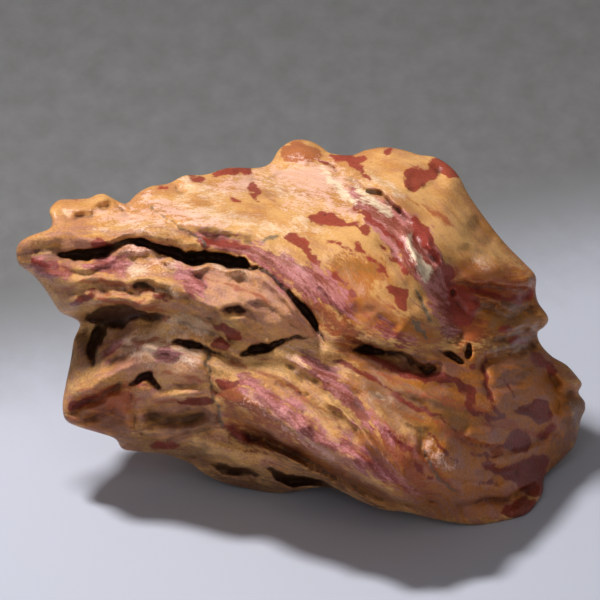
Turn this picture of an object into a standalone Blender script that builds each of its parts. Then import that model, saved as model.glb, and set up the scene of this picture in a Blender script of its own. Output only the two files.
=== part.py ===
"""A wind-polished agate: one solid stone, lying on a flat foot.

Metres, +Z up. The origin is the middle of the stone's box, at the level of the foot.
The sculpted face looks towards -Y and leans back by FACE_TILT. Every form on it is placed in
the face's own axes, in millimetres: u to the right, v up the face and w out of it.
"""

import math

import bmesh
import bpy
import numpy as np

# Driving dimensions, in millimetres unless named otherwise.
MM = 0.001
FACE_TILT = math.radians(25)
FACE_HEIGHT = 18.3
BOX_MIDDLE = (0.18, 3.01)
SPHERE_SUBDIVISIONS = 8
RIM_ROUND_FRONT = (0.8, 3.2)
RIM_ROUND_BACK = (1.2, 6.0)
RIM_QUIET = 0.9
VOXEL = 0.36
KEPT_SHARE = 0.067
GROUND_DEPTH = 10.0

BASE_COLOUR = (0.42, 0.18, 0.055, 1)
POLISH = 0.3

# The stone's edge as seen square to its face: u, v and how far the edge stands out in w.
OUTLINE = [
    (-28.4, 7.8, -1), (-28, 8.8, -0.5), (-26.8, 9.5, 0), (-25.1, 10.1, 0), (-24.8, 10.9, -1),
    (-25.1, 12, -2), (-24.2, 13, -3.5), (-22.8, 13.1, -4), (-21.2, 13.2, -4), (-20.3, 13.6, -4),
    (-19.3, 13.6, -4), (-18.5, 13, -4.3), (-17.8, 12.6, -5), (-17.2, 12.8, -5.2),
    (-16.3, 13.7, -6), (-15, 14.4, -6.5), (-13.2, 14.7, -7), (-11.6, 15.5, -8.5),
    (-9.5, 15.6, -9.5), (-7.2, 16.3, -11), (-4.4, 16.3, -13.5), (-3, 16.8, -15.5),
    (-2.1, 18.2, -17), (-0.7, 19.1, -17.5), (0.8, 19.1, -17.5), (2.1, 18.5, -17.1),
    (3.1, 17.8, -15.9), (5.2, 17.6, -14.8), (6.6, 18.1, -14.3), (8.5, 18.4, -13.6),
    (10.4, 18.1, -12.6), (12, 17.6, -11.6), (13.5, 17.4, -11.3), (14.9, 16.6, -10.5),
    (16, 15.4, -9.8), (17, 13.5, -9.4), (19, 10.7, -9.6), (20.8, 8.5, -10.4), (22.6, 6.7, -11),
    (23.7, 5.4, -10.5), (23.7, 3.9, -11), (24, 2.7, -11.5), (24.8, 1.6, -11.5), (25, 0.9, -12),
    (24.5, 0.2, -12.5), (23.9, -0.2, -13), (24.2, -1.4, -13), (25.4, -2.7, -13),
    (26.8, -3.5, -13.5), (27.9, -4.7, -13.5), (28.4, -5.5, -13.5), (28, -6.3, -13.5),
    (28.6, -7.1, -14), (28.8, -7.8, -14), (28.3, -9, -14), (28, -10.4, -13.5), (27.5, -11.8, -13),
    (26, -13.4, -12), (24.6, -14.7, -10), (24.4, -16.2, -7), (23.6, -17.5, -5),
    (22.6, -18.5, -3.5), (20.5, -19.1, -2.5), (18, -19.5, -1.5), (15.5, -19.3, -0.5),
    (13, -18.8, 0), (10.5, -18.2, 0.5), (8.5, -18, 0.5), (6.2, -17.2, 0), (4, -16.1, -1),
    (2, -15.8, -5), (0, -16.1, -7), (-2.2, -16.4, -8), (-5, -16, -8.5), (-7.5, -15.4, -8.5),
    (-9.5, -14.5, -8), (-11.2, -13.3, -7), (-13.5, -12.5, -5), (-16, -12.2, -4),
    (-17.8, -11.9, -4), (-18.5, -10.9, -3.5), (-20.2, -10.3, -3), (-22.2, -9.7, -3.3),
    (-23.5, -9, -3.6), (-23.8, -7.5, -4), (-23.5, -5.5, -4.9), (-23, -3, -6.4), (-22.7, -1, -7.3),
    (-22.1, 0.5, -7.5), (-22.8, 1.2, -2.3), (-24, 1.8, -1), (-25, 3.3, -1), (-26, 4.7, -1.4),
    (-27.2, 5.9, -1.5), (-28.1, 6.5, -1)
]

# Heights of the smooth face, before any form is cut into it: u, v, w.
FRONT_SOUNDINGS = [
    (-26, 8.5, 1.4), (-26, 6.4, 1.2), (-24, 9.4, 2), (-24, 11.8, -1.5), (-24, 6.8, 1.6),
    (-24, 5, 2.6), (-24, 3.2, 1.6), (-22.4, 2, 2), (-22.4, -1.5, -5.4), (-22.4, -4.2, -2.6),
    (-22.4, -7.2, -1.2), (-20, 12.2, -1.8), (-20, 11.4, 0.4), (-20, 10.5, 2), (-20, 9.4, 4),
    (-20, 6.8, 4.2), (-20, 5.5, 5.2), (-20, 4.4, 5.4), (-20, 3.4, 4.8), (-20, 2.5, 3.2),
    (-20, 0.4, -3.6), (-20, -1.6, -2.4), (-20, -4, 0.8), (-20, -5.6, 1.6), (-20, -7, 0.8),
    (-20, -9, -1.2), (-15, 13.3, -3.2), (-15, 12, -0.4), (-15, 10.8, 2.4), (-15, 9.8, 4.6),
    (-15, 6.8, 5.2), (-15, 5.8, 6.4), (-15, 4.6, 7.4), (-15, 3.4, 7.8), (-15, 2.3, 6.4),
    (-15, 0.6, 3), (-15, -0.4, 4.4), (-15, -1.8, 5.6), (-15, -3.4, 5.2), (-15, -6.2, 3.4),
    (-15, -7.4, 2.6), (-15, -8.8, 0.4), (-15, -10.2, 0.2), (-15, -11.5, -1.5), (-10, 14.4, -6),
    (-10, 13, -1.8), (-10, 11.8, 1.2), (-10, 10.6, 3.8), (-10, 9, 5), (-10, 5.8, 6.2),
    (-10, 4.6, 7.8), (-10, 3.2, 8.6), (-10, 1.6, 8.6), (-10, 0, 7.6), (-10, -1.4, 6),
    (-10, -2.8, 6.6), (-10, -4.6, 6.6), (-10, -6.2, 6), (-10, -7.4, 4.8), (-10, -8.8, 2.6),
    (-10, -10.2, 2.2), (-10, -11.6, 0.6), (-10, -13.2, -3), (-5, 15, -9), (-5, 13.5, -4.4),
    (-5, 12, -0.4), (-5, 10.6, 2.6), (-5, 9, 4.8), (-5, 7.4, 6.2), (-5, 5.4, 7.6), (-5, 3.8, 9.2),
    (-5, 2.2, 9.8), (-5, 0.6, 9.2), (-5, -1, 8), (-5, -3.2, 7.8), (-5, -4.6, 8.2), (-5, -6.2, 8.6),
    (-5, -7.8, 8.2), (-5, -9.4, 5.8), (-5, -10.8, 3.6), (-5, -12.2, 2.2), (-5, -13.8, -1),
    (-5, -15, -5), (0, 16.5, -13), (0, 15.2, -9.6), (0, 13.8, -5.4), (0, 12.3, -1.2),
    (0, 10.8, 1.8), (0, 9.2, 4.4), (0, 7.6, 6), (0, 5.8, 7.4), (0, 4, 8.6), (0, 1.4, 9.2),
    (0, -0.4, 8.8), (0, -2, 8.4), (0, -3.6, 8.8), (0, -5.2, 9.4), (0, -6.8, 10.2), (0, -8.4, 10.8),
    (0, -10, 10.8), (0, -11.6, 7.8), (0, -13.2, 5), (0, -14.6, 0.5), (2.8, 16.8, -14),
    (5, 16, -10.6), (5, 14.4, -6), (5, 12.8, -2), (5, 11.2, 1.2), (5, 9.4, 4), (5, 7.4, 6.2),
    (5, 5.4, 7.6), (5, 3.2, 8.8), (5, 1, 9.2), (5, -0.8, 8.8), (5, -3.2, 8.4), (5, -4.8, 9.4),
    (5, -6.4, 10.2), (5, -8, 11.6), (5, -9.6, 12.8), (5, -11.2, 13.8), (5, -12.8, 13.6),
    (5, -14.3, 10.2), (5, -15.6, 4.8), (10, 16.5, -8.6), (10, 14.8, -5.8), (10, 13.2, -3.2),
    (10, 11.6, -0.8), (10, 10, 1.6), (10, 8.2, 3.6), (10, 6.2, 5.6), (10, 4.2, 7), (10, 2.2, 8.2),
    (10, 0, 8.8), (10, -1.6, 8.2), (10, -4, 7.8), (10, -5.8, 9.4), (10, -7.6, 11),
    (10, -9.4, 12.6), (10, -11.2, 14), (10, -13, 14.4), (10, -14.7, 12.8), (10, -16.3, 8.2),
    (14, 15.8, -9.4), (15, 14.8, -7), (15, 12.6, -4.4), (15, 10.4, -1.8), (15, 8.4, 0),
    (15, 6.4, 0.8), (15, 4.4, 0.8), (15, 2.4, 1.8), (15, 0.4, 3), (15, -1.6, 4), (15, -3.6, 5.2),
    (15, -5.6, 6.8), (15, -7.4, 8.2), (15, -9.2, 9.6), (15, -11, 10.6), (15, -12.8, 11),
    (15, -14.6, 10), (15, -16.2, 6.8), (15, -17.8, 3.2), (17.6, -7, 4.8), (17.6, -11, 6.8),
    (17.6, -14, 6.2), (20, 7.8, -6.6), (20, 6.2, -4.6), (20, 4.4, -4.4), (20, 2.4, -4),
    (20, 0.2, -3.6), (20, -2, -2.8), (20, -4, -1.2), (20, -6, 0.4), (20, -8, 1.6), (20, -10, 2.2),
    (20, -12, 2.4), (20, -14, 1.8), (20, -15.6, 0.6), (20, -17.3, -1), (23, 4.8, -7.6),
    (23, 2.6, -8.4), (23, 0, -9.4), (23, -2.2, -8), (23, -4.4, -6.4), (23, -6.8, -5.4),
    (23, -9.2, -4.8), (23, -11.6, -4.8), (23, -14, -4.8), (23, -15.8, -4.6), (23, -17.4, -4.4),
    (26, -4.8, -10.4), (26, -7.2, -9.4), (26, -9.4, -9.4), (26, -11.6, -10.2)
]

BACK_SOUNDINGS = [
    (-25.5, 6.8, -4), (-24, 9, -6), (-22, 11.5, -6), (-21, 7.5, -9), (-23, 4, -6.2),
    (-20, 3, -11.9), (-20, -1.5, -13.4), (-21.6, -0.5, -13.6), (-21, -6, -10.5),
    (-17, 10.5, -10.5), (-15, 6, -15), (-15, 0, -14.8), (-16, -7, -12.6), (-16, -10, -9.5),
    (-12, 12, -12.5), (-10, 7, -18.3), (-10, 0, -19.1), (-10, -7, -17.5), (-10, -12, -14),
    (-6, 13, -16.3), (-4, 7, -21), (-4, 0, -22.2), (-4, -7, -21.5), (-5, -12.5, -17.5),
    (0, 16.5, -20.8), (5, 16.5, -20), (-4, 15, -18.9), (1, 11, -22.2), (2, 4, -23.8),
    (2, -3, -24.5), (1, -10, -22.5), (2, -14, -20.5), (7, 15.5, -17.8), (8, 10, -20.7),
    (9, 3, -23.5), (9, -4, -25), (9, -11, -24.5), (9, -16, -18), (13, 14.5, -15.9), (14, 9, -18.2),
    (15, 2, -22), (16, -5, -23.5), (16, -12, -22), (16, -17, -13.5), (20, 6, -16.5),
    (21, 0, -18.5), (22, -7, -20), (22, -13, -17.5), (21, -17, -10.5), (24.5, -2, -16),
    (26, -8, -17.5)
]

# Lines that the bands of the stone follow, each with its place s across the bands.
BAND_LINES = [
    (0.0,
     [(-28, 8.3), (-20, 8.4), (-13.5, 8.3), (-5, 6.6), (0, 2.8), (2.5, -0.8), (8, -2.4),
      (14, -3.7), (20, -4.7), (28, -5.8)]),
    (-4.0,
     [(-27, 5.5), (-17, 4.3), (-8, 1.8), (-1, -1.7), (5, -3.7), (10, -6.6), (15.2, -9.8),
      (20, -11.5), (26, -13.2)]),
    (-8.0,
     [(-22.5, 0.5), (-13.5, 0.8), (-6.5, -2.7), (-1.5, -3.7), (4.5, -8.3), (8.3, -12.6),
      (11.2, -16.1), (15.5, -19.2)]),
    (-11.0,
     [(-23, -5), (-17, -4.8), (-8.5, -4.7), (-2.8, -7.4), (2.2, -11.4), (7.2, -14.7), (13.2, -17.5)]),
    (-15.0,
     [(-23, -8.5), (-17, -9.7), (-7.8, -9.6), (-2.5, -11.6), (4, -14.5), (9.8, -17.4)]),
    (-19.0,
     [(-18, -11.7), (-10, -13.2), (0, -16.1)]),
    (4.5,
     [(-25, 12.3), (-19, 12.3), (-10, 11.3), (-1, 9), (5, 4), (10, 0), (15.5, -1.2), (24.5, -1.6)]),
    (9.0,
     [(-12, 15.2), (-4, 14.8), (3, 11.3), (8, 6.6), (12, 1.8), (16, 0.8), (24.5, 0.8)]),
    (14.0,
     [(-3.5, 16.6), (5, 14.3), (10.5, 11.3), (14.6, 6.1), (24, 4.9)]),
    (19.0,
     [(5, 17.5), (12, 15.2), (18, 9.4), (23, 6.8)]),
]


def smooth_line(points, steps=5, closed=False):
    """A Catmull-Rom curve through the points, with this many steps between each two."""
    given = np.array(points, float)
    if closed:
        padded = np.vstack([given[-1], given, given[:2]])
    else:
        padded = np.vstack([2 * given[0] - given[1], given, 2 * given[-1] - given[-2]])
    t = np.linspace(0, 1, steps, endpoint=False)[:, None]
    pieces = []
    for a, b, c, d in zip(padded, padded[1:], padded[2:], padded[3:]):
        cubic = 3 * b - a - 3 * c + d
        pieces.append(0.5 * (2 * b + (c - a) * t + (2 * a - 5 * b + 4 * c - d) * t**2 + cubic * t**3))
    pieces.append(given[:1] if closed else given[-1:])
    return np.vstack(pieces)


def ease(x):
    x = np.clip(x, 0, 1)
    return x * x * (3 - 2 * x)


def nearest(places, line):
    """For each place: distance to the line, side (+1 on its left), share along it, its width there."""
    distance = np.full(len(places), 1e9)
    side, share, width = np.zeros((3, len(places)))
    legs = np.diff(line[:, :2], axis=0)
    lengths = np.hypot(*legs.T)
    before = np.concatenate([[0], np.cumsum(lengths)])
    for i, leg in enumerate(legs):
        if lengths[i] == 0:
            continue
        from_start = places - line[i, :2]
        along = np.clip(from_start @ leg / lengths[i] ** 2, 0, 1)
        across = from_start - along[:, None] * leg
        here = np.hypot(*across.T)
        closer = here < distance
        distance[closer] = here[closer]
        side[closer] = np.sign(leg[0] * from_start[closer, 1] - leg[1] * from_start[closer, 0])
        share[closer] = (before[i] + along[closer] * lengths[i]) / before[-1]
        if line.shape[1] > 2:
            width[closer] = line[i, 2] + along[closer] * (line[i + 1, 2] - line[i, 2])
    return distance, side, share, width


def around(places, line, reach):
    low = line[:, :2].min(0) - reach
    high = line[:, :2].max(0) + reach
    return np.where(((places > low) & (places < high)).all(1))[0]


def faded(share, ends):
    return ease(np.minimum(share / max(ends[0], 1e-6), (1 - share) / max(ends[1], 1e-6)))


# The kinds of form. Each adds its depth or height to the relief at the places that it reaches.


def groove(places, relief, points, width, depth, sharp=1.4, ends=(0.25, 0.25)):
    line = smooth_line(points)
    near = around(places, line, 4 * width)
    distance, _, share, _ = nearest(places[near], line)
    relief[near] -= depth * faded(share, ends) * np.exp(-((distance / width) ** sharp))


def ridge(places, relief, points, width, height, sharp=1.6, ends=(0.25, 0.25)):
    groove(places, relief, points, width, -height, sharp, ends)


def slot(places, relief, points, depth):
    """An open gash with steep walls; each of its points carries the half-width there."""
    line = smooth_line(points)
    widest = line[:, 2].max()
    near = around(places, line, widest + 0.5)
    distance, _, _, width = nearest(places[near], line)
    width = np.maximum(width, 0.01)
    profile = np.sqrt(np.clip(1 - (distance / width) ** 2, 0, 1))
    relief[near] -= depth * (width / widest) ** 0.7 * profile


def ledge(places, relief, points, drop, reach, edge, bulge, bulge_width, ends=(0.2, 0.2)):
    """A lip that bulges on the left of the line and drops away on its right."""
    line = smooth_line(points)
    near = around(places, line, 3.5 * max(reach, bulge_width))
    distance, side, share, _ = nearest(places[near], line)
    fallen = ease(distance / edge)
    below = -drop * fallen * np.exp(-((distance / reach) ** 1.5))
    lip = bulge * np.exp(-((distance / bulge_width) ** 2))
    low_side = side < 0
    relief[near] += faded(share, ends) * np.where(low_side, below + lip * (1 - fallen), lip)


def lump(places, relief, middle, radii, height, degrees):
    turn = math.radians(degrees)
    u, v = (places - middle).T
    along = (u * math.cos(turn) + v * math.sin(turn)) / radii[0]
    across = (v * math.cos(turn) - u * math.sin(turn)) / radii[1]
    relief += height * np.exp(-(along**2) - across**2)


# Kind, name, points, and the sizes in the order that the kind's function takes them.
FRONT_FORMS = [
    (lump, "rounded knob above the brow", (-21.6, 12.4), (3.4, 1), 0.9, 5),
    (lump, "shoulder at the top right", (10.5, 15.2), (3.6, 2.4), 1.1, 60),
    (lump, "swelling behind the brow", (-15.2, 9.6), (4, 1.1), 0.8, 0),
    (lump, "knob behind the top edge", (0, 18), (2, 1.2), 1.2, 0),
    (lump, "mouth of the big hollow", (-18.2, 0.8), (2.6, 0.9), -1.6, -6),
    (ridge, "brow over the big hollow",
     [(-21.6, 2.2), (-20.2, 2.7), (-18.6, 3), (-17, 3), (-15.4, 2.6), (-14, 1.8)], 0.6, 0.8),
    (lump, "cheek above the lower gash", (11.8, 1.2), (3, 2.4), 1.2, -30),
    (lump, "body of the middle block", (-11, 4), (7, 1.6), 0.6, -12),
    (lump, "prow of the lower block", (-21.4, -6.2), (2.4, 1.2), 0.9, 25),
    (lump, "front of the lower block", (-12.2, -4.2), (3.4, 1.8), 0.9, 0),
    (lump, "right flank", (20.6, 6.2), (3.6, 1.4), 0.8, -8),
    (lump, "lower right lobe", (23, -7), (3.6, 3.4), 0.8, 0),
    (lump, "bulge above the foot", (15.5, -14), (3.4, 2.2), 0.4, -30),
    (lump, "foot at the lower right", (22.2, -17.5), (1.6, 0.9), 0.9, 15),
    (lump, "shell under the keel", (-6.4, -12.6), (2.6, 0.9), 0.7, -20),
    (groove, "furrow under the knob",
     [(-23.8, 11), (-22.6, 11), (-21.4, 11.2), (-20.3, 11.6), (-19.4, 12.1), (-18.6, 12.7)], 0.5, 0.9, 1.6, (0.25, 0.15)),
    (ridge, "crest of the brow",
     [(-25.6, 9), (-23.8, 9.7), (-22.2, 9.3), (-20.5, 8.8), (-18.8, 9), (-17.2, 9.8),
      (-15.8, 10.3), (-14.2, 9.8), (-12, 9.3)], 0.6, 0.8, 1.8),
    (groove, "hollow in the brow",
     [(-22, 10.1), (-20.2, 9.9), (-18.6, 10.4)], 0.6, 0.5),
    (slot, "pocket under the brow",
     [(-24.4, 7.4, 0.08), (-23.4, 7.5, 0.3), (-22.4, 7.5, 0.5), (-21.2, 7.5, 0.55),
      (-20.1, 7.6, 0.46), (-19, 7.9, 0.34), (-18, 8.3, 0.24), (-17.2, 8.6, 0.14)], 3.4),
    (slot, "long gash under the brow",
     [(-17.8, 8.6, 0.1), (-16.6, 8.9, 0.26), (-15.4, 8.7, 0.34), (-14.2, 8.2, 0.34),
      (-13, 7.7, 0.46), (-11.7, 7.4, 0.65), (-10.5, 7.2, 0.74), (-9.2, 7.2, 0.66), (-8, 7, 0.7),
      (-6.7, 6.8, 0.64), (-5.6, 6.6, 0.46), (-4.8, 6.3, 0.3), (-4.1, 5.9, 0.1)], 6.4),
    (groove, "shade beyond the tip",
     [(-27, 7.8), (-26, 8.1), (-24.8, 8.1), (-23.4, 7.8)], 0.6, 0.5),
    (slot, "crack beside the middle block",
     [(-4.4, 6.2, 0.2), (-3.2, 5.3, 0.18), (-2.1, 4.6, 0.2), (-1, 3.7, 0.26), (-0.1, 2.8, 0.34),
      (0.7, 1.8, 0.39), (1.3, 0.9, 0.32), (1.8, -0.1, 0.2), (2.4, -1.2, 0.08)], 3.8),
    (ledge, "block edge over the crack",
     [(2.2, -0.8), (1.4, 0.4), (0.4, 1.8), (-0.8, 3.2), (-2.2, 4.4), (-3.8, 5.5), (-5.4, 6.2)], 0.7, 1.2, 0.3, 0.5, 0.8),
    (ridge, "lip over the gash",
     [(-20, 8.7), (-18.4, 8.9), (-17.6, 9.5), (-16.2, 9.9), (-14.8, 9.4), (-13.2, 8.9),
      (-10.4, 8.7), (-8, 8.2), (-5.4, 7.8)], 0.35, 0.5, 1.6, (0.15, 0.2)),
    (ridge, "crest under the gash, left",
     [(-24.2, 6.8), (-22.4, 6.2), (-20.8, 6.2), (-19.6, 6.8), (-18.4, 7.4), (-17, 7.9),
      (-15.6, 7.8), (-14.4, 6.8)], 0.4, 0.6, 1.6),
    (ridge, "crest under the gash, middle",
     [(-14.2, 6.6), (-12.8, 6.6), (-11.6, 6.1), (-10.4, 5.9), (-9.2, 6.1), (-7.6, 5.8), (-6, 6),
      (-4.8, 5.5), (-3, 4.4), (-1.2, 2.7), (0.4, 0.6), (1.6, -1.4)], 0.45, 0.7, 1.6, (0.1, 0.1)),
    (groove, "shadow line below the tip",
     [(-24, 6.2), (-22.2, 5.6), (-20.4, 5.6), (-18.8, 6.2)], 0.5, 0.5),
    (ledge, "brow of the small slit",
     [(-17.4, 4.8), (-16, 5), (-14.8, 4.9), (-13.4, 4.4), (-12, 3.5)], 0.8, 1.3, 0.25, 0.5, 0.9),
    (slot, "small slit",
     [(-16.9, 4.4, 0.06), (-16, 4.6, 0.24), (-15, 4.4, 0.24), (-14, 4.1, 0.16), (-13.1, 3.8, 0.06)], 1.4),
    (groove, "left dimple of the block",
     [(-24.2, 3.4), (-22, 4.1), (-20, 4), (-18.2, 3.4)], 0.8, 0.6),
    (ridge, "rim over the big hollow",
     [(-23.8, 2.4), (-21.6, 2.8), (-19.6, 3.2), (-17.4, 3), (-15.4, 2.4), (-13.4, 1.7)], 0.5, 0.7, 1.7),
    (ledge, "lid of the second slit",
     [(-9.6, 1.7), (-8, 2.1), (-6.5, 2.4), (-5, 2.1), (-3.6, 1)], 0.5, 1.1, 0.25, 0.4, 0.9),
    (slot, "second slit",
     [(-8, 1.9, 0.05), (-7, 2.2, 0.18), (-6, 2.1, 0.17), (-4.8, 1.6, 0.05)], 1.2),
    (groove, "line right of the big hollow",
     [(-13.2, 1.6), (-11.4, 1.3), (-9.5, 1.2), (-7.8, 0.8)], 0.4, 0.7),
    (lump, "tooth in the cave", (-3, -1.5), (0.5, 0.3), 1.2, -20),
    (slot, "big hollow",
     [(-21.8, 1.1, 0.2), (-21, 1.3, 0.6), (-20, 1.3, 1), (-18.9, 1.2, 1.3), (-17.7, 1.4, 1.1),
      (-16.5, 1.5, 0.8), (-15.2, 1.3, 0.6), (-14, 1.1, 0.4), (-12.8, 0.9, 0.1)], 3.0),
    (slot, "hollow below it",
     [(-20, 0, 0.6), (-20.4, -1, 0.75), (-20.7, -1.9, 0.65), (-20.8, -2.7, 0.45),
      (-20.6, -3.5, 0.14)], 2.4),
    (groove, "underside of the block",
     [(-13.5, 0.8), (-11.2, 0.3), (-9, -0.4), (-6.8, -1), (-5, -1.6)], 0.55, 0.9, 1.6),
    (lump, "first bead in the seam", (-7.8, -1.3), (1.3, 0.8), 0.7, -20),
    (lump, "second bead in the seam", (-7.4, 0), (1.5, 0.6), 0.5, -15),
    (slot, "cave under the block",
     [(-5.9, -2.4, 0.08), (-5.1, -2.1, 0.36), (-4.2, -2, 0.46), (-3.3, -1.8, 0.44),
      (-2.3, -1.4, 0.3), (-1.2, -1.1, 0.22), (0, -0.9, 0.16), (1.4, -1, 0.06)], 3.4),
    (slot, "seam below the middle block",
     [(-13.1, -0.9, 0.06), (-11.8, -1.2, 0.24), (-10.5, -1.6, 0.3), (-9.2, -2.1, 0.24),
      (-7.8, -2.6, 0.12), (-6, -3.1, 0.08)], 2.6),
    (ledge, "lid of the seam",
     [(-13.7, -0.6), (-11.8, -0.9), (-9.2, -1.6), (-6.8, -2.3), (-4.8, -3)], 0.6, 1.1, 0.25, 0.4, 0.9),
    (ridge, "top crest of the lower block",
     [(-20.4, -3.6), (-19.6, -2.2), (-18.7, -1.4), (-17.4, -0.4), (-15.6, 0.1), (-14, 0.4),
      (-12.4, 0)], 0.5, 0.8, 1.6),
    (groove, "dip behind its nose",
     [(-19.6, -4.2), (-18.4, -3.2), (-17, -2.4)], 0.5, 0.5),
    (ridge, "nose crest",
     [(-23, -7.4), (-21.8, -6.2), (-20.2, -5.2), (-18.8, -4.4), (-17.2, -3.9), (-15.8, -3.8)], 0.7, 1.1, 1.8),
    (groove, "furrow under the nose",
     [(-23.6, -9), (-21.8, -7.6), (-20, -6.4), (-18.3, -5.8), (-16.7, -5.2)], 0.55, 1.6, 1.5),
    (ridge, "strap under the furrow",
     [(-22.2, -8.8), (-20.6, -7.6), (-18.8, -6.7), (-17.2, -6.3)], 0.35, 0.6),
    (groove, "second furrow",
     [(-22, -9.8), (-20.6, -8.9), (-19.2, -8), (-17.6, -7.4)], 0.35, 0.9),
    (slot, "pit under the front",
     [(-17, -5.8, 0.08), (-16.4, -5, 0.28), (-15.6, -4.7, 0.34), (-14.8, -4.9, 0.34),
      (-14.2, -5.5, 0.2), (-13.8, -6.1, 0.06)], 2.6),
    (lump, "tongue in the pit", (-15.7, -5.9), (0.9, 0.5), 0.9, -10),
    (groove, "upright furrow",
     [(-16.6, -6), (-16.9, -7.5), (-16.7, -9), (-16.6, -10.6)], 0.3, 0.8),
    (ridge, "crest right of the upright furrow",
     [(-15.8, -6.8), (-14, -6.6), (-11.8, -6.4), (-9.4, -6.3)], 0.6, 0.7),
    (groove, "hollow under that crest",
     [(-16.2, -8.2), (-14.2, -8.6), (-12, -8.7), (-10, -8.3), (-8.3, -8)], 0.8, 1.7, 1.8),
    (ledge, "sill under the hollow",
     [(-16.6, -9.7), (-15, -10.4), (-13.3, -10.7), (-11.5, -10.3), (-9.6, -9.7), (-7.8, -9.4)], 1.0, 1.1, 0.25, 0.6, 0.7),
    (groove, "grey crack",
     [(-9.5, -1.6), (-9.2, -2.6), (-9.3, -3.4), (-9, -4.4), (-9, -5.4), (-8.7, -6), (-8.8, -6.8),
      (-8.3, -7.6), (-8.2, -8.4), (-7.8, -9.8)], 0.22, 1.0, 1.2, (0.1, 0.1)),
    (ridge, "lower band",
     [(-18.2, -11), (-16, -11.6), (-12.5, -11.4), (-10, -11.1), (-7.8, -11.8), (-5.5, -13)], 0.6, 0.6),
    (ledge, "underside of the great fold",
     [(-8.4, -8.4), (-6.4, -8.9), (-3.8, -9.7), (-0.8, -11.1), (2.2, -12.6), (5.2, -14.1),
      (8.2, -15.7), (10.8, -17.1), (12.4, -18)], 3.0, 2.4, 0.45, 0.7, 1.2, (0.2, 0.08)),
    (groove, "trough above the keel",
     [(-7.4, -9.8), (-5.2, -10.5), (-2.2, -11.6), (1, -13.1), (4.1, -14.5), (7, -15.9),
      (9.8, -17.4)], 0.6, 1.2, 1.7, (0.15, 0.1)),
    (ridge, "keel",
     [(-5.6, -11), (-3.8, -11.7), (-1.8, -12.5), (0.2, -13.6), (2.2, -14.6), (4.2, -15.6),
      (6.2, -16.6), (8.4, -17.8)], 0.34, 2.2, 1.5, (0.15, 0.05)),
    (slot, "hollow under the keel",
     [(-3.4, -14, 0.1), (-2.2, -14.5, 0.4), (-0.8, -15, 0.6), (0.8, -15.2, 0.6),
      (2.4, -15.5, 0.36), (4.2, -16.1, 0.1)], 3.8),
    (slot, "shell hollow",
     [(-10, -13.2, 0.1), (-8.6, -13.7, 0.4), (-7, -14.1, 0.6), (-5.2, -14.3, 0.5), (-4, -14.3, 0.1)], 1.8),
    (ledge, "edge of the lower band",
     [(-15, -12.2), (-12.4, -12.2), (-10, -12.2), (-7.8, -12.6), (-5.4, -13.4), (-3.2, -14)], 1.6, 1.6, 0.35, 0.5, 0.8, (0.25, 0.2)),
    (slot, "slit at the foot of the keel",
     [(5, -16.1, 0.05), (6.5, -16.8, 0.18), (8, -17.6, 0.16), (9, -17.9, 0.05)], 1.4),
    (ridge, "great oblique fold",
     [(-8.8, -5.4), (-6.4, -6.4), (-3.6, -7.8), (-0.8, -9.7), (2, -11.7), (4.5, -13.4),
      (7.2, -15.1), (10.2, -16.6), (13.6, -17.8)], 2.0, 1.8, 2.0, (0.12, 0.15)),
    (ridge, "crest line of the great fold",
     [(-7.2, -6.4), (-4.8, -7.4), (-2.2, -8.8), (0.4, -10.6), (2.8, -12.3), (5, -13.8)], 0.6, 0.5, 1.6),
    (groove, "trough beside the fold",
     [(-6.2, -3.8), (-3.6, -4.6), (-1, -5.9), (1.2, -7.4), (3.2, -9.2), (5, -11), (6.6, -12.4),
      (8.2, -13.9), (9.8, -15.3), (11.4, -16.3), (13, -17)], 0.6, 0.6, 1.6, (0.25, 0.05)),
    (ridge, "sharp rib",
     [(1.8, -6.2), (3.4, -7.2), (4.6, -8.3), (5.8, -9.6), (7.1, -11.1), (8.4, -12.6), (9.6, -14.1),
      (10.6, -15.4), (11.4, -16.2)], 0.26, 1.3, 1.2, (0.2, 0.08)),
    (groove, "furrow right of the eye",
     [(-1.6, -3.2), (-0.6, -4.1), (0.5, -5.5)], 0.4, 0.6),
    (slot, "pinhole",
     [(-0.4, -6.5, 0.06), (0.2, -6.5, 0.18), (0.8, -6.4, 0.06)], 0.8),
    (ridge, "second fold",
     [(-1, -2.2), (0.4, -3.2), (2, -4.7), (3.8, -6.4), (5.2, -8)], 0.6, 0.9),
    (groove, "furrow between folds",
     [(1.4, -2.8), (3.2, -4.4), (5, -6.1), (6.6, -7.9), (8, -9.8)], 0.5, 0.4),
    (ridge, "third fold",
     [(3.4, -2.8), (5.4, -4.6), (7.8, -6.6), (10.2, -8.6), (12.2, -10.8), (13.4, -12.8)], 1.1, 0.6, 2.0),
    (groove, "red line",
     [(5, -3.4), (7.4, -4.9), (10, -6.5), (12.4, -7.8), (14, -8.8), (15.6, -10)], 0.32, 0.4, 1.4),
    (ridge, "fourth fold",
     [(6.6, -3.6), (9.8, -5.4), (12.8, -6.8), (15.4, -8.3), (17.2, -9.8)], 1.1, 0.5, 2.0),
    (groove, "short furrows on the folds",
     [(8.4, -10), (9.8, -11.2), (11.2, -12.1)], 0.35, 0.35),
    (groove, "furrow before the bulge",
     [(11.6, -10), (13, -11.4), (14, -12.8), (15.2, -13.8)], 0.5, 0.6),
    (lump, "bright bulge", (14.1, -12.5), (1, 1.6), 0.9, -40),
    (ridge, "lip of the bright bulge",
     [(12.8, -10.6), (13.1, -11.7), (13.7, -12.8), (14.6, -13.8)], 0.4, 0.5),
    (ridge, "second lip there",
     [(14.4, -14.8), (15, -15.4), (15.5, -16)], 0.4, 0.4),
    (groove, "grey vein",
     [(12, -9.8), (12.1, -11.1), (12.4, -12.4), (13, -13.6), (13.8, -14.6), (14.7, -15.4),
      (15.6, -16.2)], 0.26, 0.8),
    (ledge, "lip of the lower gash",
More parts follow.
